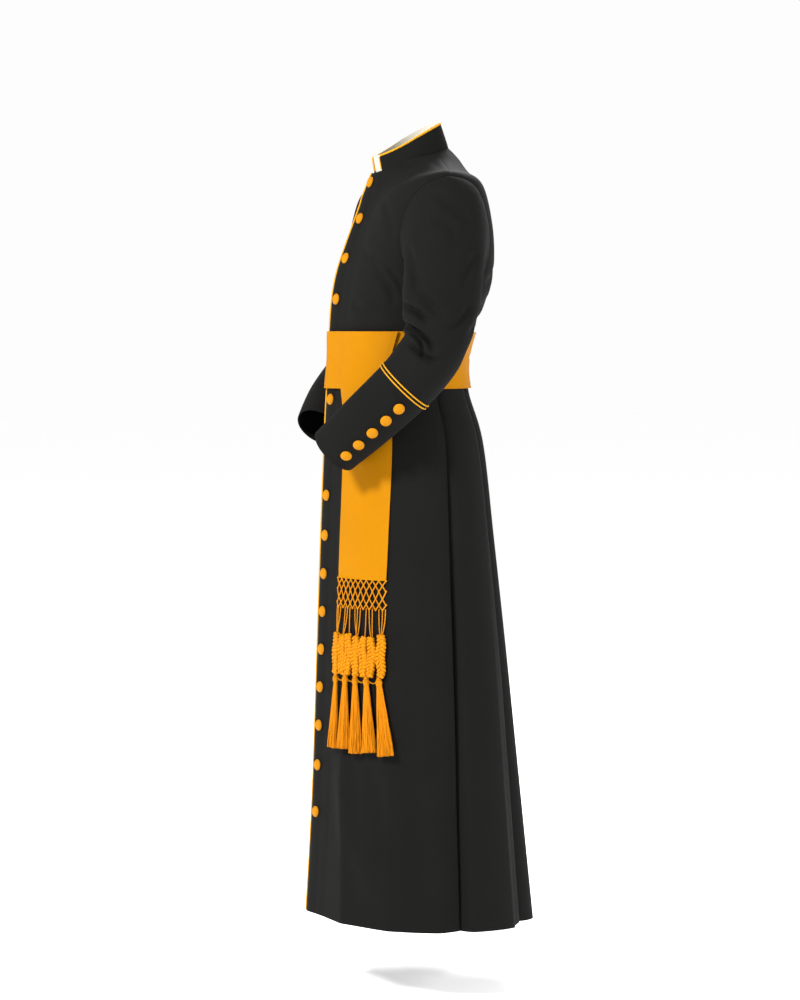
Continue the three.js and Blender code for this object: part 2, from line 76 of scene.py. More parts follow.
bodyRings = namedColumns("side front back middle zFront zSide zBack square", [
    (64, -76, 61, -6, -24, 4, 24, 2.0),  # neck seam
    (100, -80, 79, 0, -46, -10, 4, 1.9),
    (150, -86, 94, 4, -78, -24, -24, 1.9),
    (202, -99, 117, 6, -116, -38, -64, 2.0),  # shoulder tip
    (196, -115, 132, 8, -158, -110, -118, 2.2),
    (181, -131, 136, 7, -205, -185, -178, 2.4),
    (167, -140, 129, 2, -250, -246, -238, 2.4),  # foot of the armhole
    (160, -145, 104, -12, -305, -305, -305, 2.2),
    (155, -146, 89, -25, -366, -366, -368, 2.1),  # waist
    (158, -151, 94, -27, -425, -425, -428, 2.1),
    (176, -156, 122, -14, -520, -520, -522, 2.0),
    (192, -163, 143, -8, -700, -700, -702, 2.0),
    (207, -171, 169, 0, -930, -930, -934, 2.0),
    (222, -180, 196, 6, -1180, -1182, -1190, 2.0),
    (236, -192, 219, 12, -1392, -1398, -1411, 2.0),  # hem
])
lastLevel = 14
waistSeam = 8.7
band = {"top": -315, "foot": -420, "thick": 2.5, "clear": 3.4}
lap = {"edge": 20, "lift": 3, "fade": 48}
ridge = {"middle": -14, "height": 9, "reach": 42, "fade": 45}

# A fold is how far the cloth before the valley leans back over it at the hem.
pleats = namedColumns("turnTop turnFoot deepTop deepFoot before after fold", [
    (100, 92, 6, 34, 40, 34, 15),
    (136, 135.5, 9, 62, 52, 95, 36),
    (-102, -95, 6, 30, 44, 36, 9),
    (-134, -135, 8, 54, 90, 56, 10),
    (181, 178, 6, 26, 60, 52, 7),
    (20, 33, 0, -7, 60, 70, 0),
    (62, 60, 0, -6, 80, 60, 0),
    (-24, -20, 0, -9, 44, 50, 0),
    (-60, -58, 0, -7, 70, 70, 0),
])


def ringAt(level):
    return {name: between(column, level) for name, column in bodyRings.items()}


def ringRadius(ring, turn):
    s, c = np.sin(np.radians(turn)), np.cos(np.radians(turn))
    deep = np.where(c > 0, ring["middle"] - ring["front"], ring["back"] - ring["middle"])
    n = ring["square"]
    return (np.abs(s / ring["side"]) ** n + np.abs(c / deep) ** n) ** (-1 / n)


def ringPoint(ring, turn, lift=0.0, around=0.0):
    s, c = np.sin(np.radians(turn)), np.cos(np.radians(turn))
    radius = ringRadius(ring, turn) + lift
    z = mix(ring["zSide"], np.where(c > 0, ring["zFront"], ring["zBack"]), np.abs(c) ** ring.get("bow", 1.4))
    x, y = radius * s + around * c, ring["middle"] - radius * c + around * s
    return np.stack(np.broadcast_arrays(x, y, z), -1)


def nearestTurn(turn):
    return (turn + 180) % 360 - 180


def downSkirt(ring):
    return np.clip((band["foot"] - ring["zSide"]) / (band["foot"] - bodyRings["zSide"][-1]), 0, 1)


def pleatShape(ring, turn):  # how far the pleats lift the cloth, and how far they push it round
    down, radius = downSkirt(ring), ringRadius(ring, turn)
    lift, around = 0.0, 0.0
    for k in range(len(pleats["fold"])):
        row = {name: column[k] for name, column in pleats.items()}
        away = np.radians(nearestTurn(turn - mix(row["turnTop"], row["turnFoot"], down))) * radius
        reach = np.where(away < 0, row["before"], row["after"]) * mix(0.45, 1, down)
        near = np.clip(1 - np.abs(away) / reach, 0, 1)
        lift = lift - mix(row["deepTop"], row["deepFoot"], down) * near**2
        crest = 0.3 * row["before"]
        around = around + row["fold"] * down * np.exp(-(((away + crest) / (0.6 * crest)) ** 2)) * (away < 0)
    inBand = np.where(ring["zSide"] > band["foot"], np.clip(1 - (ring["zSide"] - band["foot"]) / 40, 0, 1), 1)
    return lift * inBand, around * inBand


def acrossFront(ring, turn):
    return np.where(np.abs(nearestTurn(turn)) > 90, 1e3, np.sin(np.radians(turn)) * ringRadius(ring, turn))


def ridgeLift(ring, turn):
    near = 1 - np.abs(acrossFront(ring, turn) - ridge["middle"]) / ridge["reach"]
    belowNeck = np.clip((bodyRings["zFront"][0] - ring["zFront"]) / ridge["fade"], 0, 1)
    return ridge["height"] * belowNeck * smooth(near)


def lapLift(ring, turn):
    near = np.clip(1 - np.abs(acrossFront(ring, turn)) / lap["fade"], 0, 1)
    return lap["lift"] * np.clip(near * 2.2, 0, 1)


def bodyPoint(turn, level, lapped=False, pleated=True):
    turn, level = np.broadcast_arrays(np.asarray(turn, float), np.asarray(level, float))
    ring = ringAt(level)
    lift, around = pleatShape(ring, turn) if pleated else (0.0, 0.0)
    lift = lift + ridgeLift(ring, turn) + (lapLift(ring, turn) if lapped else 0)
    return ringPoint(ring, turn, lift, around)


def lapSurface(turn, level):
    return bodyPoint(turn, level, lapped=True)


def bandSurface(turn, level):
    return bodyPoint(turn, level, lapped=True, pleated=False)


def offsetPoint(surface, turn, level, out):
    round_ = surface(turn + 0.4, level) - surface(turn - 0.4, level)
    level = np.asarray(level, float)
    low, high = np.clip(level + 0.02, 0, lastLevel), np.clip(level - 0.02, 0, lastLevel)
    normal = unit(np.cross(surface(turn, low) - surface(turn, high), round_))
    return surface(turn, level) + normal * np.asarray(out, float)[..., None], normal


def levelAt(z, turn):
    z, turn = np.broadcast_arrays(np.asarray(z, float), np.asarray(turn, float))
    low, high = np.zeros(z.shape), np.full(z.shape, float(lastLevel))
    for _ in range(30):
        level = (low + high) / 2
        above = ringPoint(ringAt(level), turn)[..., 2] > z
        low, high = np.where(above, level, low), np.where(above, high, level)
    return (low + high) / 2


def frontTurn(level, across):
    ring = ringAt(np.asarray(level, float))
    return np.degrees(np.arctan2(across, ring["middle"] - ring["front"]))


# Seams.

sideSeam = namedColumns("level turn", [
    (0, 121), (1, 106), (2, 97), (3, 91), (6, 97), (8, 98), (9, 96), (14, 88),
])
armhole = {"top": 3, "foot": 6, "turnTop": 91, "turnFoot": 97, "before": 30, "after": 30}


def armholeAt(stitch, side):  # 0 at the shoulder tip, 90 in front, 180 under the arm, 270 behind
    s, c = np.sin(np.radians(stitch)), np.cos(np.radians(stitch))
    share = (1 - c) / 2
    reach = np.where(s > 0, armhole["before"], armhole["after"])
    turn = mix(armhole["turnTop"], armhole["turnFoot"], share) - s * reach
    return mix(armhole["top"], armhole["foot"], share), turn * side


def sideEdge(level, behind):
    share = np.clip((level - armhole["top"]) / (armhole["foot"] - armhole["top"]), 0, 1)
    stitch = np.degrees(np.arccos(1 - 2 * share))
    atArmhole = armholeAt(360 - stitch if behind else stitch, 1)[1]
    plain = np.interp(level, sideSeam["level"], sideSeam["turn"])
    return np.where((level <= armhole["top"]) | (level >= armhole["foot"]), plain, atArmhole)


def pleatTurn(k, level):
    down = downSkirt(ringAt(np.asarray(level, float)))
    return mix(pleats["turnTop"][k], pleats["turnFoot"][k], down)


# Creases are soft troughs, or ridges where the depth is negative, drawn from A to B on a chart of the cloth.
creases = {"depthGain": 1.5, "bodyChart": 3.0, "sleeveGain": 1.5}


def creaseLift(s, t, chart):
    lift = np.zeros(np.broadcast(s, t).shape)
    for sA, tA, sB, tB, bow, deep, wide in zip(*chart.values()):
        ds, dt = sB - sA, tB - tA
        length = math.hypot(ds, dt)
        along = ((s - sA) * ds + (t - tA) * dt) / length**2
        aside = ((s - sA) * dt - (t - tA) * ds) / length - bow * 4 * along * (1 - along)
        ends = smooth((along + 0.08) / 0.4) * smooth((1.08 - along) / 0.4)
        x = (aside / wide) ** 2
        lift -= creases["depthGain"] * deep * (1 - x) * np.exp(-x) * ends
    return lift


# The chart of the body: bodyChart millimetres for each degree of turn, and the height.
bodyCreases = namedColumns("sA tA sB tB bow deep wide", [
    (190, -268, 134, -202, 8, 3.4, 11),
    (204, -258, 160, -190, 5, 2.4, 9),
    (168, -284, 70, -258, -6, 2.0, 11),
    (178, -156, 144, -76, 6, 1.6, 12),
    (250, -4, 166, -12, -5, 2.2, 9),
    (300, -6, 210, -26, -6, 1.8, 9),
    (162, -194, 64, -166, 5, 1.4, 12),
    (196, -1338, 138, -1080, 8, 3.0, 26),
    (160, -1343, 78, -1100, -8, -2.6, 30),
    (120, -1380, 96, -900, 6, 1.8, 22),
    (232, -1390, 214, -960, -6, 2.2, 24),
    (250, -1380, 240, -1120, 4, -2.4, 20),
    (-196, -236, -146, -190, -8, 2.4, 11),
    (-205, -266, -166, -226, -5, 1.8, 9),
    (-184, -298, -120, -268, 6, 1.8, 12),
    (-250, -4, -168, -14, 5, 2.0, 9),
    (-188, -1340, -132, -1090, -8, 2.6, 26),
    (-150, -1370, -88, -1000, 7, -2.2, 28),
    (-236, -1390, -216, -980, 6, 2.0, 24),
    (-104, -54, -62, -88, 5, 1.5, 10),
    (-134, -64, -94, -108, 6, 1.1, 11),
    (372, -226, 448, -190, 8, 2.2, 13),
    (372, -270, 456, -248, 5, 1.8, 11),
    (392, -300, 500, -288, -4, 1.6, 10),
    (-372, -230, -452, -186, -8, 2.2, 13),
    (-372, -266, -450, -250, -5, 1.7, 11),
    (-396, -298, -505, -284, 4, 1.5, 10),
])


# The sleeves' form: rounds of the arm, numbered from the foot of the sleeve head to the wrist.

sleeveRings = namedColumns("x y z across thick", [
    (222, -11, -252, 72, 48),
    (226, -17, -298, 66, 49),
    (227, -26, -342, 58, 50),
    (222, -50, -379, 57, 49),
    (212, -77, -412, 55, 47),  # top of the cuff
    (179, -136, -474, 52, 44),
    (126, -185, -530, 47, 40),  # wrist
])
cuffTop, wristEnd = 4, 6
rightWrist = {"out": 34, "back": 42, "rise": 34, "from": 2.4}
headDrop = 0.88
headLength = 170
sleeveSeams = {"front": 90, "back": 247.5}  # their places round the arm


def sleeveMiddle(at, side):
    moved = np.clip((at - rightWrist["from"]) / (wristEnd - rightWrist["from"]), 0, 1) * (side < 0)
    x = (between(sleeveRings["x"], at) + rightWrist["out"] * moved) * side
    y = between(sleeveRings["y"], at) + rightWrist["back"] * moved
    z = between(sleeveRings["z"], at) + rightWrist["rise"] * moved
    return np.stack(np.broadcast_arrays(x, y, z), -1)


def sleeveFrames(side, count=241):
    places = np.linspace(0, wristEnd, count)
    ahead, behind = np.minimum(places + 0.05, wristEnd), np.maximum(places - 0.05, 0)
    axis = unit(sleeveMiddle(ahead, side) - sleeveMiddle(behind, side))
    front = np.zeros((count, 3))
    f = np.array([0.0, -1.0, 0.0])
    for i in range(count):
        f = f - axis[i] * (f @ axis[i])
        f = f / np.linalg.norm(f)
        front[i] = f
    middle = sleeveMiddle(places, side)
    run = np.concatenate([[0], np.cumsum(np.linalg.norm(np.diff(middle, axis=0), axis=1))])
    return {"places": places, "middle": middle, "axis": axis, "front": front,
            "outward": np.cross(front, axis) * side, "run": run}


frames = {side: sleeveFrames(side) for side in (1, -1)}


def frameAt(side, place):
    f = frames[side]
    pick = lambda name: np.stack([np.interp(place, f["places"], f[name][:, k]) for k in range(3)], -1)
    return pick("middle"), pick("axis"), pick("front"), pick("outward")


def sleevePoint(place, stitch, side, depth=0.0):
    place, stitch = np.broadcast_arrays(np.asarray(place, float), np.asarray(stitch, float))
    middle, axis, front, outward = frameAt(side, np.clip(place, 0, wristEnd))
    across = between(sleeveRings["across"], place) - depth
    thick = between(sleeveRings["thick"], place) - depth
    c, s = np.cos(np.radians(stitch)), np.sin(np.radians(stitch))
    tube = middle + outward * (thick * c)[..., None] + front * (across * s)[..., None]
    level, turn = armholeAt(stitch, side)
    start, _ = offsetPoint(lapSurface, turn, level, cloth / 2 - depth)
    bend = tube + axis * (np.sum((start - tube) * axis, -1) * headDrop)[..., None]
    start = start + unit(bend - start) * 0.3
    t = (place + 1)[..., None]
    head = start * (1 - t) ** 2 + bend * 2 * t * (1 - t) + tube * t**2
    return np.where(place[..., None] >= 0, tube, head)


def alongSleeve(place, side):
    f = frames[side]
    return np.where(place < 0, place * headLength, np.interp(place, f["places"], f["run"]))


# The chart of a sleeve: 1 mm for each degree round from the shoulder line towards the front, and the run down
# the arm from the foot of the sleeve head.
sleeveCreases = namedColumns("sA tA sB tB bow deep wide", [
    (28, -126, -26, -84, 6, 2.6, 8),
    (20, -104, -34, -68, 5, 2.2, 8),
    (34, -88, -8, -44, -4, 1.6, 9),
    (-48, -44, -20, -2, 5, 2.0, 11),
    (86, -92, 58, 22, -8, 2.6, 11),
    (60, -24, 2, 46, 7, 3.2, 12),
    (100, 22, 26, 58, -6, 5.4, 9),
    (106, 58, 6, 106, -9, 7.6, 9),
    (76, 78, 16, 124, -5, 5.4, 8),
    (60, 114, -14, 112, 6, 4.8, 8),
    (-40, 10, -2, 70, -6, 2.4, 12),
    (-96, 10, -50, 64, -5, 1.8, 12),
    (130, 20, 96, 70, 6, 3.0, 11),
    (150, 74, 100, 96, -5, 4.4, 10),
    (-120, 60, -70, 96, 4, 1.8, 12),
    (20, 186, -30, 204, 3, 1.0, 9),
])


# Cloth meshes.

def outwardNormals(grid, inside):
    normal = unit(np.cross(np.gradient(grid, axis=0), np.gradient(grid, axis=1)))
    return normal * np.sign(np.sum(normal * (grid - inside)))


def runs(grid, axis):
    step = np.linalg.norm(np.diff(grid, axis=axis), axis=2)
    first = np.zeros_like(step[:1] if axis == 0 else step[:, :1])
    return np.concatenate([first, np.cumsum(step, axis=axis)], axis=axis)


def meshObject(name, points, faces, uvs=None, sharp=40):
    mesh = bpy.data.meshes.new(name)
    mesh.from_pydata((np.asarray(points) * mm).tolist(), [], np.asarray(faces).tolist())
    if uvs is not None:
        layer = mesh.uv_layers.new(name="weave")
        layer.data.foreach_set("uv", np.asarray(uvs, np.float32).ravel())
    mesh.update()
    mesh.shade_smooth()
    mesh.set_sharp_from_angle(angle=math.radians(sharp))
    piece = bpy.data.objects.new(name, mesh)
    bpy.context.scene.collection.objects.link(piece)
    return piece


def shell(name, outer, inner, closed=False):
    rows, cols = outer.shape[:2]
    index = np.arange(rows * cols).reshape(rows, cols)
    ring = np.concatenate([outer, outer[:, :1]], 1) if closed else outer
    if closed:
        index = np.concatenate([index, index[:, :1]], 1)
    u, v = runs(ring, 1) * mm, runs(ring, 0) * mm
    quads = lambda a: np.stack([a[:-1, :-1], a[:-1, 1:], a[1:, 1:], a[1:, :-1]], -1).reshape(-1, 4)
    corner = quads(np.arange(u.size).reshape(u.shape))
    outs, total = quads(index), rows * cols
    faces, corners = [outs, outs[:, ::-1] + total], [corner, corner[:, ::-1]]

    def rim(line, where):  # the edge of the cloth, between its two sides
        a, b = line[:-1], line[1:]
        faces.append(np.stack([a, a + total, b + total, b], -1))
        corners.append(np.stack([where[:-1], where[:-1], where[1:], where[1:]], -1))

    spots = np.arange(u.size).reshape(u.shape)
    rim(index[0], spots[0])
    rim(index[-1, ::-1], spots[-1, ::-1])
    if not closed:
        rim(index[::-1, 0], spots[::-1, 0])
        rim(index[:, -1], spots[:, -1])
    faces, corners = np.concatenate(faces), np.concatenate(corners)
    points = np.concatenate([outer.reshape(-1, 3), inner.reshape(-1, 3)])
    a, b, c, d = (points[faces[:, k]] for k in range(4))
    volume = np.sum(a * np.cross(b, c)) + np.sum(a * np.cross(c, d))
    if volume < 0:
        faces, corners = faces[:, ::-1], corners[:, ::-1]
    uv = np.stack([u.ravel()[corners], v.ravel()[corners]], -1)
    return meshObject(name, points, faces, uv)


def flatSize(grid, closed=False):
    ring = np.concatenate([grid, grid[:, :1]], 1) if closed else grid
    width, length = runs(ring, 1)[:, -1].max() * mm, runs(ring, 0)[-1].max() * mm
    a, b = ring[1:, 1:] - ring[:-1, :-1], ring[1:, :-1] - ring[:-1, 1:]
    area = 0.5 * np.linalg.norm(np.cross(a, b), axis=2).sum() * mm * mm
    return (round(width, 3), round(length, 3)), area


def finishPiece(piece, nodes, material=None):
    if material:
        piece.data.materials.clear()
        piece.data.materials.append(material)
    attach(piece, "root")
    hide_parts(*nodes)
    return piece


def declareSheet(piece, grid, closed=False):
    flat, area = flatSize(grid, closed)
    area = min(area, flat[0] * flat[1])
    print(f"sheet {piece.name}: {flat[0]:.3f} by {flat[1]:.3f} m, {area:.4f} m2")


seamRoll = {"deep": 0.7, "soft": 2.4}


def rollIn(away):  # how far the cloth rolls in, at a distance from a seam
    return seamRoll["deep"] * np.exp(-((away / seamRoll["soft"]) ** 2))


def evenShares(count, edge=(0.004, 0.012, 0.024)):
    middle = np.linspace(edge[-1] * 1.8, 1 - edge[-1] * 1.8, count)
    return np.concatenate([[0], edge, middle, 1 - np.array(edge[::-1]), [1]])


# Materials.

class Socket:  # shader maths on a node's output
    def __init__(self, tree, link):
        self.tree, self.link = tree, link

    def maths(self, operation, *values):
        return makeNode(self.tree, "ShaderNodeMath", {"operation": operation}, list(values))

    def __add__(self, other):
        return self.maths("ADD", self, other)

    def __sub__(self, other):
        return self.maths("SUBTRACT", self, other)

    def __mul__(self, other):
        return self.maths("MULTIPLY", self, other)

    def __rsub__(self, other):
        return self.maths("SUBTRACT", other, self)

    __radd__, __rmul__ = __add__, __mul__

    def sine(self):
        return self.maths("SINE", self)


def makeNode(tree, kind, settings=None, inputs=None, output=0):
    node = tree.nodes.new(kind)
    for name, value in (settings or {}).items():
        setattr(node, name, value)
    pairs = inputs.items() if isinstance(inputs, dict) else enumerate(inputs or [])
    for key, value in pairs:
        if isinstance(value, Socket):
            tree.links.new(value.link, node.inputs[key])
        else:
            node.inputs[key].default_value = value
    return Socket(tree, node.outputs[output])


def newMaterial(name, roughness, sheen, sheenTint, specular=0.25):
    material = bpy.data.materials.new(name)
    material.use_nodes = True
    tree = material.node_tree
    shader = tree.nodes["Principled BSDF"]
    shader.inputs["Roughness"].default_value = roughness
    shader.inputs["Sheen Weight"].default_value = sheen
    shader.inputs["Sheen Roughness"].default_value = 0.45
    shader.inputs["Sheen Tint"].default_value = (*sheenTint, 1)
    shader.inputs["Specular IOR Level"].default_value = specular
    return material, tree, shader


def separate(tree, vector):
    node = tree.nodes.new("ShaderNodeSeparateXYZ")
    tree.links.new(vector.link, node.inputs[0])
    return [Socket(tree, out) for out in node.outputs]


def objectNoise(tree, scale, detail=4.0):
    place = makeNode(tree, "ShaderNodeTexCoord", output="Object")
    return makeNode(tree, "ShaderNodeTexNoise", None, {"Vector": place, "Scale": scale, "Detail": detail})


def mixColor(tree, share, first, second):
    return makeNode(tree, "ShaderNodeMix", {"data_type": "RGBA"}, {0: share, 6: first, 7: second}, output=2)


def bumpInto(tree, shader, height, strength):  # the height is in metres
    bump = makeNode(tree, "ShaderNodeBump", None, {"Height": height, "Distance": 1.0, "Strength": strength})
    tree.links.new(bump.link, shader.inputs["Normal"])


worstedLook = {"dark": (0.0044, 0.0043, 0.0041, 1), "light": (0.0086, 0.0084, 0.0080, 1), "twillPitch": 0.0011,
               "twillBump": 0.00011, "napBump": 0.0009}


def worstedMaterial():
    look = worstedLook
    material, tree, shader = newMaterial("blackWorsted", 0.8, 0.012, (0.9, 0.9, 0.9), 0.07)
    u, v, _ = separate(tree, makeNode(tree, "ShaderNodeTexCoord", output="UV"))
    turns = 2 * math.pi / look["twillPitch"]
    twill = ((u + v) * turns).sine() * 0.5 + 0.5
    threads = (u * (turns * 1.7)).sine() * (v * (turns * 1.7)).sine()
    shade = objectNoise(tree, 9.0, 5.0)
    fleck = objectNoise(tree, 900.0, 2.0)
    share = shade * 0.7 + fleck * 0.3
    color = mixColor(tree, share, look["dark"], look["light"])
    tree.links.new(color.link, shader.inputs["Base Color"])
    rough = shade * 0.12 + 0.76
    tree.links.new(rough.link, shader.inputs["Roughness"])
    soft = objectNoise(tree, 38.0, 3.0)
    height = (twill * 0.7 + threads * 0.3) * look["twillBump"] + soft * look["napBump"]
    bumpInto(tree, shader, height, 0.6)
    return material


failleLook = {"deep": (0.375, 0.142, 0.0002, 1), "bright": (0.455, 0.180, 0.0004, 1), "ribPitch": 0.0016,
              "ribBump": 0.00016}


def failleMaterial():
    look = failleLook
    material, tree, shader = newMaterial("goldFaille", 0.5, 0.012, (1.0, 0.6, 0.1), 0.05)
    u, v, _ = separate(tree, makeNode(tree, "ShaderNodeTexCoord", output="UV"))
    ribBumpAndShade = (v * (2 * math.pi / look["ribPitch"])).sine() * 0.5 + 0.5
    warp = (u * (2 * math.pi / (look["ribPitch"] * 0.45))).sine() * 0.5 + 0.5
    shade = objectNoise(tree, 14.0, 4.0)
    # The rib wave raises the ribs in the bump and also paints them: painted shade between the ribs, painted
    # highlight on them; the noise gives random tone.
    share = shade * 0.75 + ribBumpAndShade * 0.25
    tree.links.new(mixColor(tree, share, look["deep"], look["bright"]).link, shader.inputs["Base Color"])
    tree.links.new((shade * 0.14 + 0.42).link, shader.inputs["Roughness"])
    height = (ribBumpAndShade * 0.8 + warp * 0.2) * look["ribBump"] + objectNoise(tree, 26.0, 3.0) * 0.0008
    bumpInto(tree, shader, height, 0.6)
    return material


# In these cord looks the deep colour is painted shade in the grooves between the twisted strands, and the
# bright colour is a painted highlight on their crests; the noise adds random tone.
cordLook = {"deep": (0.43, 0.135, 0.0004, 1), "bright": (0.69, 0.27, 0.001, 1), "strands": 2, "pitch": 0.006,
            "bump": 0.0005}


def cordMaterial(name, look):  # twisted strands, drawn by the cord's own run and the way round it
    material, tree, shader = newMaterial(name, 0.55, 0.03, (1.0, 0.7, 0.2), 0.1)
    along = makeNode(tree, "ShaderNodeAttribute", {"attribute_name": "along"}, output="Fac")
    around = makeNode(tree, "ShaderNodeAttribute", {"attribute_name": "around"}, output="Fac")
    # The twist wave raises the strands in the bump and also paints them: painted shade in the grooves between
    # strands, painted highlight on their crests.
    twistBumpAndShade = (along * (2 * math.pi / look["pitch"]) + around * (2 * math.pi * look["strands"])).sine() * 0.5 + 0.5
    shade = objectNoise(tree, 60.0, 3.0)
    share = twistBumpAndShade * 0.6 + shade * 0.4
    tree.links.new(mixColor(tree, share, look["deep"], look["bright"]).link, shader.inputs["Base Color"])
    tree.links.new((shade * 0.15 + 0.48).link, shader.inputs["Roughness"])
    bumpInto(tree, shader, twistBumpAndShade * look["bump"], 0.8)
    return material


threadLook = {"deep": (0.38, 0.105, 0.0004, 1), "bright": (0.74, 0.27, 0.001, 1)}


def strandMaterial():  # fine loose threads, each with a shade of its own
    material, tree, shader = newMaterial("tasselThreads", 0.55, 0.03, (1.0, 0.7, 0.2), 0.1)
    place = makeNode(tree, "ShaderNodeTexCoord", output="Object")
    stretched = makeNode(tree, "ShaderNodeVectorMath", {"operation": "MULTIPLY"}, [place, (1, 1, 0.03)])
    shade = makeNode(tree, "ShaderNodeTexNoise", None, {"Vector": stretched, "Scale": 650.0, "Detail": 2.0})
    color = mixColor(tree, shade, threadLook["deep"], threadLook["bright"])
    tree.links.new(color.link, shader.inputs["Base Color"])
    return material


linenLook = {"deep": (0.62, 0.57, 0.45, 1), "bright": (0.72, 0.68, 0.56, 1), "threads": 7000}


def collarMaterial():
    material, tree, shader = newMaterial("whiteCollar", 0.6, 0.1, (1, 1, 1))
    shade = objectNoise(tree, 30.0, 4.0)
    color = mixColor(tree, shade, linenLook["deep"], linenLook["bright"])
    tree.links.new(color.link, shader.inputs["Base Color"])
    u, v, _ = separate(tree, makeNode(tree, "ShaderNodeTexCoord", output="UV"))
    threads = (u * linenLook["threads"]).sine() * (v * linenLook["threads"]).sine()
    bumpInto(tree, shader, threads * 0.00002 + shade * 0.0003, 0.4)
    return material


worsted, faille, whiteLinen = worstedMaterial(), failleMaterial(), collarMaterial()
pipingGold = cordMaterial("goldPiping", {**cordLook, "pitch": 0.004, "deep": (0.53, 0.22, 0.003, 1),
                                        "bright": (0.72, 0.36, 0.014, 1)})
fringeGold, threadGold = cordMaterial("fringeCord", cordLook), strandMaterial()
buttonGold = cordMaterial("buttonCover", {**cordLook, "pitch": 0.0016, "strands": 0, "bump": 0.00012,
                                          "deep": (0.41, 0.150, 0.0004, 1), "bright": (0.53, 0.213, 0.0008, 1)})


# Geometry nodes: cords from lines, buttons on points, and the threads of a tassel.

def newTree(name, sockets):
    tree = bpy.data.node_groups.new(name, "GeometryNodeTree")
    tree.interface.new_socket("Geometry", in_out="INPUT", socket_type="NodeSocketGeometry")
    for label, kind, value in sockets:
        made = tree.interface.new_socket(label, in_out="INPUT", socket_type=kind)
        if value is not None:
            made.default_value = value
    tree.interface.new_socket("Geometry", in_out="OUTPUT", socket_type="NodeSocketGeometry")
    return tree, tree.nodes.new("NodeGroupInput"), tree.nodes.new("NodeGroupOutput")


def geoNode(tree, kind, settings=None, inputs=None):
    node = tree.nodes.new(kind)
    for name, value in (settings or {}).items():
        setattr(node, name, value)
    for key, value in (inputs or {}).items():
        if isinstance(value, bpy.types.NodeSocket):
            tree.links.new(value, node.inputs[key])
        else:
            node.inputs[key].default_value = value
    return node


def finishTree(tree, geometry, material, last):
    real = geoNode(tree, "GeometryNodeRealizeInstances", None, {"Geometry": geometry})
    coated = geoNode(tree, "GeometryNodeSetMaterial", None, {"Geometry": real.outputs[0], "Material": material})
    tree.links.new(coated.outputs[0], last.inputs[0])


def keepValue(tree, geometry, name, value):  # a number kept on every point, for the material or a later node
    return geoNode(tree, "GeometryNodeStoreNamedAttribute", {"data_type": "FLOAT", "domain": "POINT"},
                   {"Geometry": geometry, "Name": name, "Value": value}).outputs[0]


def tubeAlong(tree, curve, sides, radius, material, last):
    run = geoNode(tree, "GeometryNodeSplineParameter")
    curve = keepValue(tree, curve, "along", run.outputs["Length"])
    profile = geoNode(tree, "GeometryNodeCurvePrimitiveCircle", None, {"Resolution": sides, "Radius": radius})
    turn = geoNode(tree, "GeometryNodeSplineParameter")
    profile = keepValue(tree, profile.outputs["Curve"], "around", turn.outputs["Factor"])
    tube = geoNode(tree, "GeometryNodeCurveToMesh", None,
                   {"Curve": curve, "Profile Curve": profile, "Fill Caps": True})
    soft = geoNode(tree, "GeometryNodeSetShadeSmooth", None, {"Geometry": tube.outputs[0]})
    finishTree(tree, soft.outputs[0], material, last)


def cordTree():
    tree, first, last = newTree("cordFromLines", [
        ("Radius", "NodeSocketFloat", 0.001), ("Sides", "NodeSocketInt", 8),
        ("Material", "NodeSocketMaterial", None)])
    curve = geoNode(tree, "GeometryNodeMeshToCurve", None, {"Mesh": first.outputs["Geometry"]})
    tubeAlong(tree, curve.outputs[0], first.outputs["Sides"], first.outputs["Radius"],
              first.outputs["Material"], last)
    return tree


def buttonTree():
    tree, first, last = newTree("buttonsOnPoints", [
        ("Button", "NodeSocketObject", None), ("Material", "NodeSocketMaterial", None)])
    facing = geoNode(tree, "GeometryNodeInputNamedAttribute", {"data_type": "FLOAT_VECTOR"},
                     {"Name": "outward"})
    turned = geoNode(tree, "FunctionNodeAlignRotationToVector", {"axis": "Z"}, {"Vector": facing.outputs[0]})
    shape = geoNode(tree, "GeometryNodeObjectInfo", None, {"Object": first.outputs["Button"]})
    placed = geoNode(tree, "GeometryNodeInstanceOnPoints", None, {
        "Points": first.outputs["Geometry"], "Instance": shape.outputs["Geometry"],
        "Rotation": turned.outputs[0]})
    finishTree(tree, placed.outputs[0], first.outputs["Material"], last)
    return tree


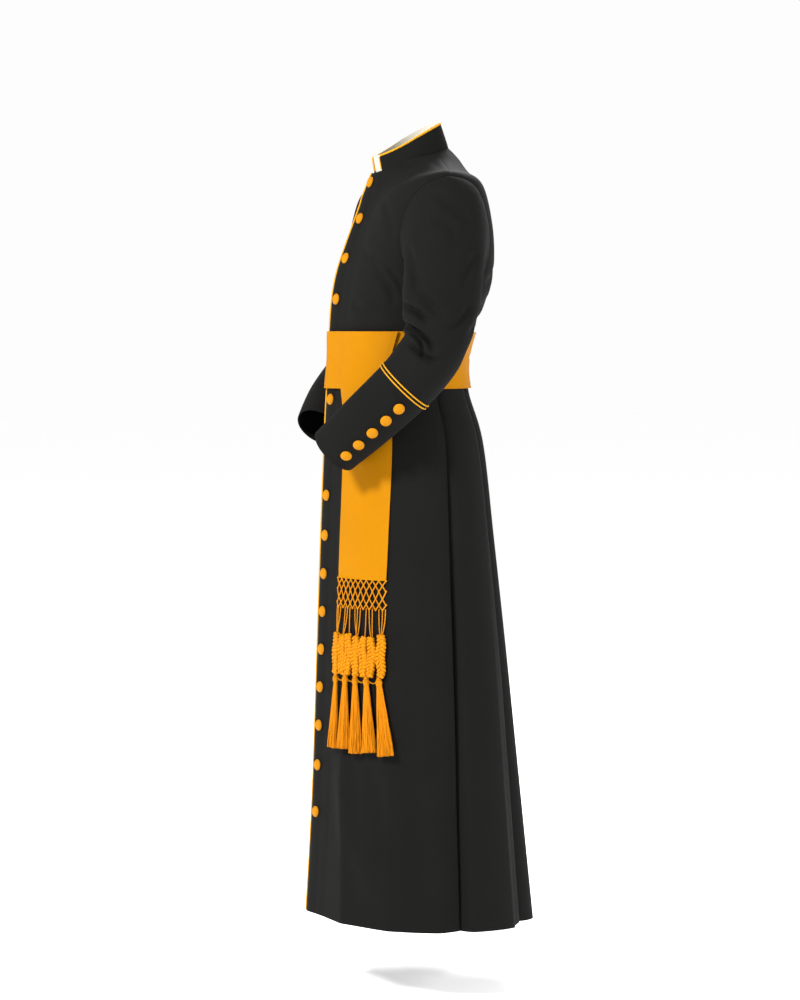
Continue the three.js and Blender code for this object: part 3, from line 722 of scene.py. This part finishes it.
def strandTree():
    tree, first, last = newTree("tasselStrands", [
        ("Length", "NodeSocketFloat", 0.1), ("Top Radius", "NodeSocketFloat", 0.004),
        ("Foot Radius", "NodeSocketFloat", 0.012), ("Flatness", "NodeSocketFloat", 0.6),
        ("Strand Radius", "NodeSocketFloat", 0.0008), ("Seed", "NodeSocketInt", 3),
        ("Material", "NodeSocketMaterial", None)])
    seed = first.outputs["Seed"]

    def random(low, high, offset):
        shifted = geoNode(tree, "ShaderNodeMath", {"operation": "ADD"}, {0: seed, 1: offset})
        return geoNode(tree, "FunctionNodeRandomValue", {"data_type": "FLOAT"},
                       {"Min": low, "Max": high, "Seed": shifted.outputs[0]}).outputs[1]

    def maths(operation, a, b=0.0):
        return geoNode(tree, "ShaderNodeMath", {"operation": operation}, {0: a, 1: b}).outputs[0]

    def read(name):
        return geoNode(tree, "GeometryNodeInputNamedAttribute", {"data_type": "FLOAT"},
                       {"Name": name}).outputs[0]

    points = first.outputs["Geometry"]
    for name, low, high, offset in (("angle", 0.0, 2 * math.pi, 0), ("reach", 0.05, 1.0, 11),
                                    ("cut", 0.0, 1.0, 23), ("sway", 0.0, 6.28, 37)):
        points = keepValue(tree, points, name, random(low, high, offset))
    line = geoNode(tree, "GeometryNodeCurvePrimitiveLine", None, {"End": (0, 0, -1)})
    fine = geoNode(tree, "GeometryNodeResampleCurve", None, {"Curve": line.outputs[0], "Count": 9})
    placed = geoNode(tree, "GeometryNodeInstanceOnPoints", None,
                     {"Points": points, "Instance": fine.outputs[0]})
    real = geoNode(tree, "GeometryNodeRealizeInstances", None, {"Geometry": placed.outputs[0]})
    down = geoNode(tree, "GeometryNodeSplineParameter").outputs["Factor"]
    spread = maths("POWER", down, 0.9)
    radius = maths("ADD", first.outputs["Top Radius"], maths("MULTIPLY", spread, maths(
        "SUBTRACT", first.outputs["Foot Radius"], first.outputs["Top Radius"])))
    reach = maths("POWER", read("reach"), 0.5)
    out = maths("MULTIPLY", radius, reach)
    wobble = maths("MULTIPLY", maths("SINE", maths("ADD", maths("MULTIPLY", down, 9.0), read("sway"))), 0.0009)
    x = maths("ADD", maths("MULTIPLY", out, maths("COSINE", read("angle"))), maths("MULTIPLY", wobble, down))
    y = maths("MULTIPLY", maths("MULTIPLY", out, maths("SINE", read("angle"))), first.outputs["Flatness"])
    uncut = maths("SUBTRACT", 1.0, maths("MULTIPLY", read("cut"), 0.04))
    long = maths("MULTIPLY", first.outputs["Length"], uncut)
    z = maths("MULTIPLY", maths("MULTIPLY", down, long), -1.0)
    place = geoNode(tree, "ShaderNodeCombineXYZ", None, {0: x, 1: y, 2: z})
    bent = geoNode(tree, "GeometryNodeSetPosition", None,
                   {"Geometry": real.outputs[0], "Position": place.outputs[0]})
    tubeAlong(tree, bent.outputs[0], 5, first.outputs["Strand Radius"], first.outputs["Material"], last)
    return tree


def grown(piece, tree, values):  # the plain mesh that a tree makes of a piece
    modifier = piece.modifiers.new(tree.name, "NODES")
    modifier.node_group = tree
    for item in tree.interface.items_tree:
        if item.item_type == "SOCKET" and item.in_out == "INPUT" and item.name in values:
            modifier[item.identifier] = values[item.name]
    ready = piece.evaluated_get(bpy.context.evaluated_depsgraph_get())
    mesh = bpy.data.meshes.new_from_object(ready)
    mesh.name = piece.name
    piece.modifiers.clear()
    piece.data = mesh
    return piece


def looseObject(name, points, edges=()):  # points and lines for a tree to grow from
    mesh = bpy.data.meshes.new(name)
    mesh.from_pydata(points, edges, [])
    piece = bpy.data.objects.new(name, mesh)
    bpy.context.scene.collection.objects.link(piece)
    return piece


def linesPiece(name, lines, radius, sides, material):
    points, edges = [], []
    for line in lines:
        first = len(points)
        points += [tuple(p) for p in np.asarray(line) * mm]
        edges += [(first + i, first + i + 1) for i in range(len(line) - 1)]
    piece = looseObject(name, points, edges)
    return grown(piece, cordNodes, {"Radius": radius * mm, "Sides": sides, "Material": material})


def setOnPoints(name, places, outward, shape, material):
    piece = looseObject(name, (np.asarray(places) * mm).tolist())
    facing = piece.data.attributes.new("outward", "FLOAT_VECTOR", "POINT")
    facing.data.foreach_set("vector", np.asarray(outward).ravel())
    return grown(piece, buttonNodes, {"Button": shape, "Material": material})


def joinPieces(name, pieces):
    with bpy.context.temp_override(active_object=pieces[0], selected_editable_objects=pieces):
        bpy.ops.object.join()
    pieces[0].name = name
    pieces[0].data.name = name
    return pieces[0]


cordNodes, buttonNodes, strandNodes = cordTree(), buttonTree(), strandTree()
print("materials and node trees made")


# Body panels.

yokeLevels = np.linspace(0, armhole["top"], 34)
armLevels = mix(armhole["top"], armhole["foot"], (1 - np.cos(np.linspace(0, np.pi, 46))) / 2)
lowLevels = np.linspace(armhole["foot"], waistSeam, 26)
skirtLevels = np.linspace(waistSeam, lastLevel, 132)
bodiceLevels = np.concatenate([yokeLevels, armLevels[1:], lowLevels[1:]])


def insideBody(level):
    ring = ringAt(level)
    return np.stack([np.zeros_like(level), ring["middle"], ring["zSide"] - 60], -1)


def bodyPanel(name, levels, turnsAt, lapped=False, rolled=(True, True)):
    turns = np.array([turnsAt(level) for level in levels])
    level = np.repeat(levels[:, None], turns.shape[1], 1)
    grid = bodyPoint(turns, level, lapped=lapped)
    normal = outwardNormals(grid, insideBody(level))
    across = runs(grid, 1)
    lift = creaseLift(nearestTurn(turns) * creases["bodyChart"], grid[..., 2], bodyCreases)
    if rolled[0]:
        lift -= rollIn(across)
    if rolled[1]:
        lift -= rollIn(across[:, -1:] - across)
    outer = grid + normal * (cloth / 2 + lift)[..., None]
    inner = grid + normal * (lift - cloth / 2)[..., None]
    piece = finishPiece(shell(name + "_cloth", outer, inner), [name], worsted)
    declareSheet(piece, grid)
    return piece


def frontPanel(name, side):
    nearLap, pastLap = lap["edge"], lap["edge"] + lap["lift"]
    lapAcross = np.concatenate([np.linspace(-nearLap, nearLap, 15), np.linspace(pastLap, lap["fade"], 9)])
    shares = evenShares(58)[4:]
    shares = (shares - shares[0] * 0.6) / (1 - shares[0] * 0.6)

    def turnsAt(level):
        front = side * frontTurn(level, lapAcross)
        return np.concatenate([front, mix(front[-1], side * sideEdge(level, False), shares)])

    levels = np.concatenate([bodiceLevels, skirtLevels[1:]])
    return bodyPanel(name, levels, turnsAt, lapped=side > 0, rolled=(False, True))


def backPanel(name, side):
    shares = evenShares(40)
    return bodyPanel(name, bodiceLevels, lambda level: side * mix(sideEdge(level, True), 180, shares))


def gorePanel(name, fromTurn, toTurn, count):
    shares = evenShares(count, (0.006, 0.016, 0.03))
    turnsAt = lambda level: mix(fromTurn(level), toTurn(level), shares)
    return bodyPanel(name, skirtLevels, turnsAt)


frontPanel("front_left", 1)
frontPanel("front_right", -1)
backPanel("back_left", 1)
backPanel("back_right", -1)
backSeam = {1: lambda level: pleatTurn(1, level) + 4, -1: lambda level: pleatTurn(3, level) - 4}
for side, word in ((1, "left"), (-1, "right")):
    gorePanel(f"skirt_side_{word}", lambda level: side * sideEdge(level, True), backSeam[side], 64)
    gorePanel(f"skirt_back_{word}", backSeam[side], lambda level: side * 180, 62)
print("body panels made")


# Sleeves and cuffs.

topPlaces = np.concatenate([np.linspace(-1, 0, 56)[:-1], np.linspace(0, cuffTop, 76)])


def sleeveGrid(side, places, stitches, depth=0.0):
    place, stitch = np.meshgrid(places, stitches, indexing="ij")
    return sleevePoint(place, stitch, side, depth), place, stitch


def sleeveLift(place, stitch, side):
    return creases["sleeveGain"] * creaseLift(nearestTurn(stitch), alongSleeve(place, side), sleeveCreases)


def sleevePanel(name, side, fromStitch, toStitch, count):
    stitches = mix(fromStitch, toStitch, evenShares(count))
    outer, place, stitch = sleeveGrid(side, topPlaces, stitches)
    inner = sleeveGrid(side, topPlaces, stitches, cloth)[0]
    normal = unit(outer - inner)
    across = runs(outer, 1)
    near = np.minimum(across, across[:, -1:] - across)
    lift = sleeveLift(place, stitch, side) - rollIn(near)
    lift = (lift * smooth((place + 1) / 0.1))[..., None]
    cover = shell(name + "_cloth", outer + normal * lift, inner + normal * lift)
    piece = finishPiece(cover, [name], worsted)
    declareSheet(piece, outer)
    return piece


def cuffPiece(name, side):
    places = np.linspace(cuffTop, wristEnd, 50)
    stitches = np.linspace(0, 360, 97)[:-1] + 200
    outer, place, stitch = sleeveGrid(side, places, stitches)
    inner = sleeveGrid(side, places, stitches, cloth)[0]
    lift = sleeveLift(place, stitch, side)[..., None] * unit(outer - inner)
    cover = shell(name + "_cloth", outer + lift, inner + lift, closed=True)
    piece = finishPiece(cover, [name], worsted)
    declareSheet(piece, outer, closed=True)
    return piece


braid = {"cordRadius": 1.25, "gap": 3.3, "lift": 1.2}


def cuffBraid(name, side):
    stitches = np.linspace(0, 360, 121)
    above, below = (sleeveMiddle(np.array(cuffTop + away), side) for away in (-0.5, 0.5))
    step = np.linalg.norm(below - above)
    lines = []
    for aside in (-braid["gap"], braid["gap"]):
        place = np.full(stitches.shape, cuffTop + aside / step)
        lines.append(sleevePoint(place, stitches, side, -braid["lift"]))
    cords = linesPiece(name + "_cords", lines, braid["cordRadius"], 8, pipingGold)
    return finishPiece(cords, [name], pipingGold)


for side, word in ((1, "left"), (-1, "right")):
    sleevePanel(f"sleeve_top_{word}", side, sleeveSeams["back"] - 360, sleeveSeams["front"], 62)
    sleevePanel(f"sleeve_under_{word}", side, sleeveSeams["front"], sleeveSeams["back"], 40)
    cuffPiece(f"cuff_{word}", side)
    cuffBraid(f"cuff_braid_{word}", side)
print("sleeves made")


# Collar, its white insert and the piping.

collarTop = {name: np.array(float(value)) for name, value in {
    "side": 57, "front": -82, "back": 48, "middle": -14, "zFront": 1, "zSide": 35, "zBack": 66, "square": 2.0,
    "bow": 1.0}.items()}
collar = {"thick": 2.5, "notch": 30, "tuck": 3.2, "above": 0.6}
insert = {"thick": 1.5, "clear": 1.9, "rise": 5, "slit": 1.2}
piping = {"radius": 2.0}


def collarPoint(turn, share, depth):
    foot = ringPoint(ringAt(np.array(0.0)), turn, cloth / 2 - depth)
    head = ringPoint(collarTop, turn, -depth)
    point = mix(foot, head, np.asarray(share)[..., None])
    point[..., 2] += cloth / 2 + collar["above"]
    return point


def tuckFoot(grid, shares):  # the foot of the collar is sewn down inside the neck seam
    grid[..., 2] -= collar["tuck"] * np.clip(1 - shares * 12, 0, 1)
    return grid


def collarGrid(across, count, depth, rise=0.0):
    start = float(frontTurn(0, across))
    turns, shares = np.meshgrid(np.linspace(start, 360 - start, count), np.linspace(1, 0, 22))
    grid = tuckFoot(collarPoint(turns, shares, depth), shares)
    grid[..., 2] += rise * shares
    return grid


collarOuter, collarInner = (collarGrid(collar["notch"], 150, depth) for depth in (0, collar["thick"]))
collarCloth = shell("collar_cloth", collarOuter, collarInner)
collarPiece = finishPiece(collarCloth, ["collar"], worsted)
declareSheet(collarPiece, collarOuter)
insertDepth = collar["thick"] + insert["clear"]
insertOuter = collarGrid(insert["slit"], 160, insertDepth, insert["rise"])
insertInner = collarGrid(insert["slit"], 160, insertDepth + insert["thick"], insert["rise"])
insertCloth = shell("collar_insert_cloth", insertOuter, insertInner)
insertPiece = finishPiece(insertCloth, ["collar_insert"], whiteLinen)
declareSheet(insertPiece, insertOuter)

start = float(frontTurn(0, collar["notch"] - 2.4))
around = np.linspace(start, 360 - start, 180)
topEdge = collarPoint(around, np.ones(180), collar["thick"] / 2) + np.array([0, 0, piping["radius"] + 0.2])
endShares = np.linspace(0.1, 0.95, 9)
ends = [collarPoint(np.full(9, turn), endShares, collar["thick"] / 2) for turn in (start, 360 - start)]
collarCord = np.concatenate([ends[0], topEdge[2:-2], ends[1][::-1]])
collarPiping = linesPiece("collar_piping_cord", [collarCord], piping["radius"], 8, pipingGold)
finishPiece(collarPiping, ["collar_piping"], pipingGold)

levels = np.concatenate([bodiceLevels, skirtLevels[1:]])
edgeTurns = frontTurn(levels, -(lap["edge"] + piping["radius"] + 0.4))
frontCord, _ = offsetPoint(lapSurface, edgeTurns, levels, 1.2)
frontPiping = linesPiece("front_piping_cord", [frontCord], piping["radius"], 8, pipingGold)
finishPiece(frontPiping, ["front_piping"], pipingGold)
print("collar and piping made")


# Buttons.

button = {"radius": 10.3, "height": 6.4, "inset": 24, "sides": 28, "clear": 0.4}
frontButtonHeights = [
    -41, -108, -181, -256, -440, -530, -617, -691, -762, -832, -902, -972, -1043, -1117, -1204,
]
cuffButtons = {"count": 5, "turn": -13, "first": 0.18, "last": 0.79}
buttonProfile = namedColumns("radius height", [
    (0.0, 1.0), (0.22, 0.985), (0.42, 0.93), (0.60, 0.84), (0.76, 0.70), (0.88, 0.54),
    (0.96, 0.38), (1.0, 0.24), (0.99, 0.12), (0.93, 0.04), (0.80, 0.0), (0.0, 0.0),
])


def buttonShape():
    sides = button["sides"]
    angle = np.linspace(0, 2 * np.pi, sides, endpoint=False)
    points, faces = [(0, 0, button["height"])], []
    rows = len(buttonProfile["radius"])
    for k in range(1, rows - 1):
        r, h = buttonProfile["radius"][k] * button["radius"], buttonProfile["height"][k] * button["height"]
        points += [(r * np.cos(a), r * np.sin(a), h) for a in angle]
    points.append((0, 0, 0))
    for i in range(sides):
        j = (i + 1) % sides
        faces.append((0, 1 + i, 1 + j))
        for k in range(rows - 3):
            a, b = 1 + k * sides, 1 + (k + 1) * sides
            faces.append((a + i, b + i, b + j, a + j))
        a = 1 + (rows - 3) * sides
        faces.append((a + j, a + i, len(points) - 1))
    mesh = bpy.data.meshes.new("buttonShape")
    mesh.from_pydata((np.array(points) * mm).tolist(), [], faces)
    mesh.shade_smooth()
    for name, values in (("along", [math.hypot(p[0], p[1]) * mm for p in points]),
                         ("around", [math.atan2(p[1], p[0]) / (2 * math.pi) for p in points])):
        mesh.attributes.new(name, "FLOAT", "POINT").data.foreach_set("value", values)
    return bpy.data.objects.new("buttonShape", mesh)


buttonObject = buttonShape()


def buttonsPiece(name, places, outward, nodes):
    piece = setOnPoints(name, places, outward, buttonObject, buttonGold)
    return finishPiece(piece, nodes, buttonGold)


heights = np.array(frontButtonHeights, float)
buttonLevels = levelAt(heights, 0)
buttonTurns = frontTurn(buttonLevels, button["inset"] - lap["edge"])
places, outward = offsetPoint(lapSurface, buttonTurns, buttonLevels, cloth / 2)
buttonsPiece("front_buttons", places + outward * button["clear"], outward,
             [f"button_front_{i + 1}" for i in range(len(heights))])

for side, word in ((1, "left"), (-1, "right")):
    share = np.linspace(cuffButtons["first"], cuffButtons["last"], cuffButtons["count"])
    place = mix(cuffTop, wristEnd, share)
    stitch = np.full(place.shape, float(cuffButtons["turn"]))
    at = sleevePoint(place, stitch, side)
    round_, along = sleevePoint(place, stitch + 4, side) - at, sleevePoint(place + 0.05, stitch, side) - at
    outward = unit(np.cross(round_, along))
    middle = frameAt(side, place)[0]
    outward = outward * np.sign(np.sum(outward * (at - middle), -1))[:, None]
    buttonsPiece(f"cuff_buttons_{word}", at + outward * button["clear"], outward,
                 [f"button_cuff_{word}_{i + 1}" for i in range(cuffButtons["count"])])
print("buttons made")


# The cincture and its fringe.

bandCreases = namedColumns("sA tA sB tB bow deep wide", [
    (90, -352, 240, -362, 4, 0.8, 7),
    (150, -392, 300, -384, -4, 0.7, 6),
    (-220, -356, -90, -366, 4, 0.7, 7),
    (-300, -390, -150, -380, 3, 0.7, 6),
    (380, -350, 520, -364, 4, 0.9, 7),
    (-500, -380, -360, -372, -4, 0.8, 7),
])


def bandPiece():
    turns = np.linspace(-180, 180, 361)[:-1]
    heights = np.linspace(band["top"], band["foot"], 42)
    turn, z = np.meshgrid(turns, heights)
    level = levelAt(z, turn)
    inner, normal = offsetPoint(bandSurface, turn, level, cloth / 2 + band["clear"])
    nearEdge = np.minimum(z - band["foot"], band["top"] - z)
    lift = creaseLift(turn * creases["bodyChart"], z, bandCreases)
    lift = lift - 0.5 * np.exp(-(((nearEdge - 5) / 1.2) ** 2))  # the sewn line inside each edge
    lift = lift * smooth(nearEdge / 3)
    outer = inner + normal * (band["thick"] + lift)[..., None]
    cover = shell("cincture_band_cloth", outer, inner, closed=True)
    piece = finishPiece(cover, ["cincture_band"], faille)
    declareSheet(piece, outer, closed=True)
    return piece


# The turns of the fall's two edges, at distances below the origin.
fallEdges = namedColumns("below before after", [
    (315, 25.5, 69.5),
    (765, 22.6, 61),
    (942, 21, 60.5),
    (1078, 20, 65),
])
fall = {"foot": -765, "thick": 2.0, "width": 125.0, "clear": 1.8}


def fallPoint(share, z, out):
    share, z = np.broadcast_arrays(np.asarray(share, float), np.asarray(z, float))
    turn = mix(np.interp(-z, fallEdges["below"], fallEdges["before"]),
               np.interp(-z, fallEdges["below"], fallEdges["after"]), share)
    overBand = (band["clear"] + band["thick"]) * np.clip((z - band["foot"] + 60) / 60, 0, 1)
    return offsetPoint(lapSurface, turn, levelAt(z, turn), cloth / 2 + fall["clear"] + overBand + out)


def fallPiece():
    shares, heights = np.meshgrid(np.linspace(0, 1, 61), np.linspace(band["top"], fall["foot"], 200))
    inner, normal = fallPoint(shares, heights, 0.0)
    nearEdge = np.minimum(shares, 1 - shares) * fall["width"]
    lift = -0.45 * np.exp(-(((nearEdge - 5) / 1.2) ** 2))
    lift += 0.9 * np.sin(shares * 5 + heights / 90) * smooth((band["foot"] - heights) / 120)
    lift += 1.6 * smooth((heights - band["foot"] + 30) / 30)
    lift -= 0.5 * np.exp(-(((heights - fall["foot"] - 8) / 1.3) ** 2))
    outer = inner + normal * (fall["thick"] + lift)[..., None]
    inner = inner + normal * np.minimum(lift, 0)[..., None] * 0.5
    return shell("cincture_fall_cloth", outer, inner), outer


bandPiece()
fallCloth, fallOuter = fallPiece()
finishPiece(fallCloth, ["cincture_fall"], faille)

net = {"across": 9, "foot": -818, "cordRadius": 1.3, "knotRadius": 2.2, "out": 1.6, "bulge": 0.7,
       "rowShares": (0, 0.17, 0.36, 0.62, 0.82, 1.0)}


def knotShape(radius):
    mesh = bpy.data.meshes.new("knotShape")
    shape = bmesh.new()
    bmesh.ops.create_icosphere(shape, subdivisions=1, radius=radius * mm)
    shape.to_mesh(mesh)
    shape.free()
    mesh.shade_smooth()
    return bpy.data.objects.new("knotShape", mesh)


def netPiece():
    rows = mix(fall["foot"], net["foot"], np.array(net["rowShares"]))
    lines, knots, outs = [], [], []
    for j in range(len(rows) - 1):
        for i in range(2 * net["across"] + 1):
            if (i + j) % 2:
                continue
            for step in (-1, 1):
                k = i + step
                if not 0 <= k <= 2 * net["across"]:
                    continue
                t = np.linspace(0, 1, 5)
                share = mix(i, k, t) / (2 * net["across"])
                z = mix(rows[j], rows[j + 1], t)
                bulge = net["bulge"] * np.sin(np.pi * t) * step  # one cord over the other
                lines.append(fallPoint(share, z, net["out"] + bulge)[0])
    for j in range(len(rows)):
        for i in range(2 * net["across"] + 1):
            if (i + j) % 2 == 0:
                point, out = fallPoint(i / (2 * net["across"]), rows[j], net["out"])
                knots.append(point)
                outs.append(out)
    cords = linesPiece("fringe_net_cords", lines, net["cordRadius"], 6, fringeGold)
    balls = setOnPoints("fringe_net_knots", knots, outs, knotShape(net["knotRadius"]), fringeGold)
    return joinPieces("fringe_net_cords", [cords, balls])


netCords = finishPiece(netPiece(), ["fringe_net"], fringeGold)

drop = {"straightFoot": -866, "braids": 7, "braidRadius": 7.2, "strandRadius": 3.1, "pitch": 21.0, "out": 5.0,
        "foot": -942, "thinRadius": 1.05, "knotRadius": 3.0, "seed": 12}


def cordsPiece():
    random = np.random.default_rng(drop["seed"])
    lines, thick, knots, outs = [], [], [], []
    count = 2 * net["across"]
    for i in range(count + 1):
        if i % 4 == 3:  # the cords hang in groups of three
            continue
        share = np.clip(i / count, 0.01, 0.99)
        middle = (np.floor(share * drop["braids"] * 0.999) + 0.5) / drop["braids"]
        target = middle + random.uniform(-0.02, 0.02)
        t = np.linspace(0, 1, 12)
        z = mix(net["foot"] + 2, drop["straightFoot"] - 4, t)
        lines.append(fallPoint(mix(share, target, t**2.2), z, 1.5 + 1.6 * t)[0])
    for i in range(drop["braids"]):
        top = (i + 0.5) / drop["braids"]
        nearest = (min(round(top * tassel["count"] - 0.5), tassel["count"] - 1) + 0.5) / tassel["count"]
        foot = mix(top, nearest, 0.5)
        t = np.linspace(0, 1, 56)
        z = mix(drop["straightFoot"] + random.uniform(-3, 3), drop["foot"] + 3, t)
        share = mix(top, foot, smooth((t - 0.78) / 0.22) * 0.7) + 0.012 * np.sin(t * 9 + i * 2.1)
        middle, out = fallPoint(share, z, drop["out"])
        beside = unit(fallPoint(share + 0.01, z, drop["out"])[0] - middle)
        phase = 2 * np.pi * t * (drop["straightFoot"] - drop["foot"]) / drop["pitch"] + i * 1.7
        wide = drop["braidRadius"] * (0.66 + 0.44 * np.sin(np.pi * np.clip(t * 1.04, 0, 1)))
        for turn in (0, 2 * np.pi / 3, 4 * np.pi / 3):
            a = wide * np.sin(phase + turn)
            b = 2.2 * np.sin(2 * (phase + turn))
            thick.append(middle + beside * a[:, None] + out * b[:, None])
        for k in range(3, 54, 5):
            knots.append(middle[k] + beside[k] * random.uniform(-6, 6) + out[k] * random.uniform(0.5, 3.0))
            outs.append(out[k])
    for i in range(tassel["count"] - 1):  # thin links between the tassels' heads
        t = np.linspace(0.2, 0.8, 9)
        share = (i + 0.5 + t) / tassel["count"]
        z = drop["foot"] - 6 - 3 * np.sin(np.pi * (t - 0.2) / 0.6)
        lines.append(fallPoint(share, z, 4.0)[0])
    thin = linesPiece("fringe_cords_thin", lines, drop["thinRadius"], 6, fringeGold)
    braids = linesPiece("fringe_cords_braids", thick, drop["strandRadius"], 6, fringeGold)
    balls = setOnPoints("fringe_cords_knots", knots, outs, knotShape(drop["knotRadius"]), fringeGold)
    return joinPieces("fringe_cords_braided", [thin, braids, balls])


tassel = {"count": 5, "strands": 190, "strandRadius": 0.62, "topRadius": 4.4, "footRadius": 16.0, "flat": 0.5,
          "top": -943, "foot": -1076, "wrapRadius": 1.5, "coreRadius": 3.4, "seed": 7}
tasselWraps = namedColumns("down radius", [(0.5, 3.6), (3.2, 5.0), (6.0, 5.4), (8.8, 4.9), (11.2, 4.2)])
braidedCords = finishPiece(cordsPiece(), ["fringe_cords"], fringeGold)


def tasselPiece(index):
    share = (index + 0.5) / tassel["count"]
    footHeight = tassel["foot"] + 3 * math.sin(index * 2.4) - index
    foot, out = fallPoint(share, footHeight, tassel["footRadius"] * tassel["flat"] + 0.6)
    top, _ = fallPoint(share, tassel["top"], 5.4)
    up = unit(top - foot)
    across = unit(np.cross(up, out))
    outward = np.cross(across, up)
    piece = looseObject(f"tassel_{index + 1}_strands", [(0, 0, 0)] * tassel["strands"])
    length = float(np.linalg.norm(top - foot)) * mm
    grown(piece, strandNodes, {
        "Length": length - 0.008, "Top Radius": tassel["topRadius"] * mm,
        "Foot Radius": tassel["footRadius"] * mm, "Flatness": tassel["flat"],
        "Strand Radius": tassel["strandRadius"] * mm, "Seed": tassel["seed"] + index * 50,
        "Material": threadGold})
    at = top - up * 8
    turned = Matrix(((across[0], outward[0], up[0], at[0] * mm), (across[1], outward[1], up[1], at[1] * mm),
                     (across[2], outward[2], up[2], at[2] * mm), (0, 0, 0, 1)))
    piece.data.transform(turned)
    angle = np.linspace(0, 2 * np.pi, 25)
    aside, away = across * np.cos(angle)[:, None], outward * 0.8 * np.sin(angle)[:, None]
    wraps = [top - up * down + radius * (aside + away) for down, radius in zip(*tasselWraps.values())]
    head = linesPiece("tasselHead", wraps, tassel["wrapRadius"], 6, fringeGold)
    line = [top + up * 4, top - up * 6, top - up * 14]
    core = linesPiece("tasselCore", [line], tassel["coreRadius"], 8, fringeGold)
    return joinPieces(f"tassel_{index + 1}_strands", [piece, head, core])


tasselPieces = [tasselPiece(i) for i in range(tassel["count"])]
for i, piece in enumerate(tasselPieces):
    finishPiece(piece, [f"tassel_{i + 1}"])
declareSheet(fallCloth, fallOuter)
print("cincture and fringe made")


# Camera, light and floor.

studio = {"floorBelow": -1.53, "turn": 75.0, "tilt": 3.05, "lens": 108.4, "place": (5.402, -1.476, -0.330),
          "skyLight": 0.5, "skySeen": 0.98, "floorHalf": 40, "floorGlow": 0.5,
          "floorDark": (0.955, 0.955, 0.955, 1), "floorLight": (0.975, 0.975, 0.975, 1)}

camera = bpy.data.objects.new("camera", bpy.data.cameras.new("camera"))
bpy.context.scene.collection.objects.link(camera)
camera.data.lens = studio["lens"]
camera.data.sensor_width = 36.0
camera.location = studio["place"]
camera.rotation_euler = (math.radians(90 - studio["tilt"]), 0, math.radians(studio["turn"]))
bpy.context.scene.camera = camera


def areaLight(name, place, target, size, power):
    light = bpy.data.objects.new(name, bpy.data.lights.new(name, "AREA"))
    light.data.shape = "DISK"
    light.data.size, light.data.energy = size, power
    light.location = place
    light.rotation_euler = (Vector(target) - Vector(place)).to_track_quat("-Z", "Y").to_euler()
    bpy.context.scene.collection.objects.link(light)


areaLight("keyLight", (2.4, -4.2, 3.0), (0, 0, -0.5), 1.0, 450)
areaLight("fillLight", (3.6, 3.8, 1.6), (0, 0, -0.7), 1.6, 150)
areaLight("backLight", (-3.5, 1.5, 2.5), (0, 0, -0.4), 2.0, 220)

bpy.context.scene.view_settings.view_transform = "Standard"
world = bpy.data.worlds.new("paleStudio")
bpy.context.scene.world = world
world.use_nodes = True
sky = world.node_tree.nodes["Background"]
sky.inputs["Color"].default_value = (1, 1, 1, 1)
seen = makeNode(world.node_tree, "ShaderNodeLightPath", output="Is Camera Ray")
strength = seen * (studio["skySeen"] - studio["skyLight"]) + studio["skyLight"]
world.node_tree.links.new(strength.link, sky.inputs["Strength"])

corners = [(x * studio["floorHalf"], y * studio["floorHalf"], studio["floorBelow"])
           for x, y in ((-1, -1), (1, -1), (1, 1), (-1, 1))]
floor = meshObject("floor", np.array(corners) / mm, [(0, 1, 2, 3)])
floorMaterial, floorTree, floorShader = newMaterial("paleFloor", 0.9, 0.0, (1, 1, 1))
floorColor = mixColor(floorTree, objectNoise(floorTree, 1.5), studio["floorDark"], studio["floorLight"])
floorTree.links.new(floorColor.link, floorShader.inputs["Base Color"])
floorShader.inputs["Emission Color"].default_value = (1, 1, 1, 1)
floorShader.inputs["Emission Strength"].default_value = studio["floorGlow"]
floor.data.materials.append(floorMaterial)
print("studio made")
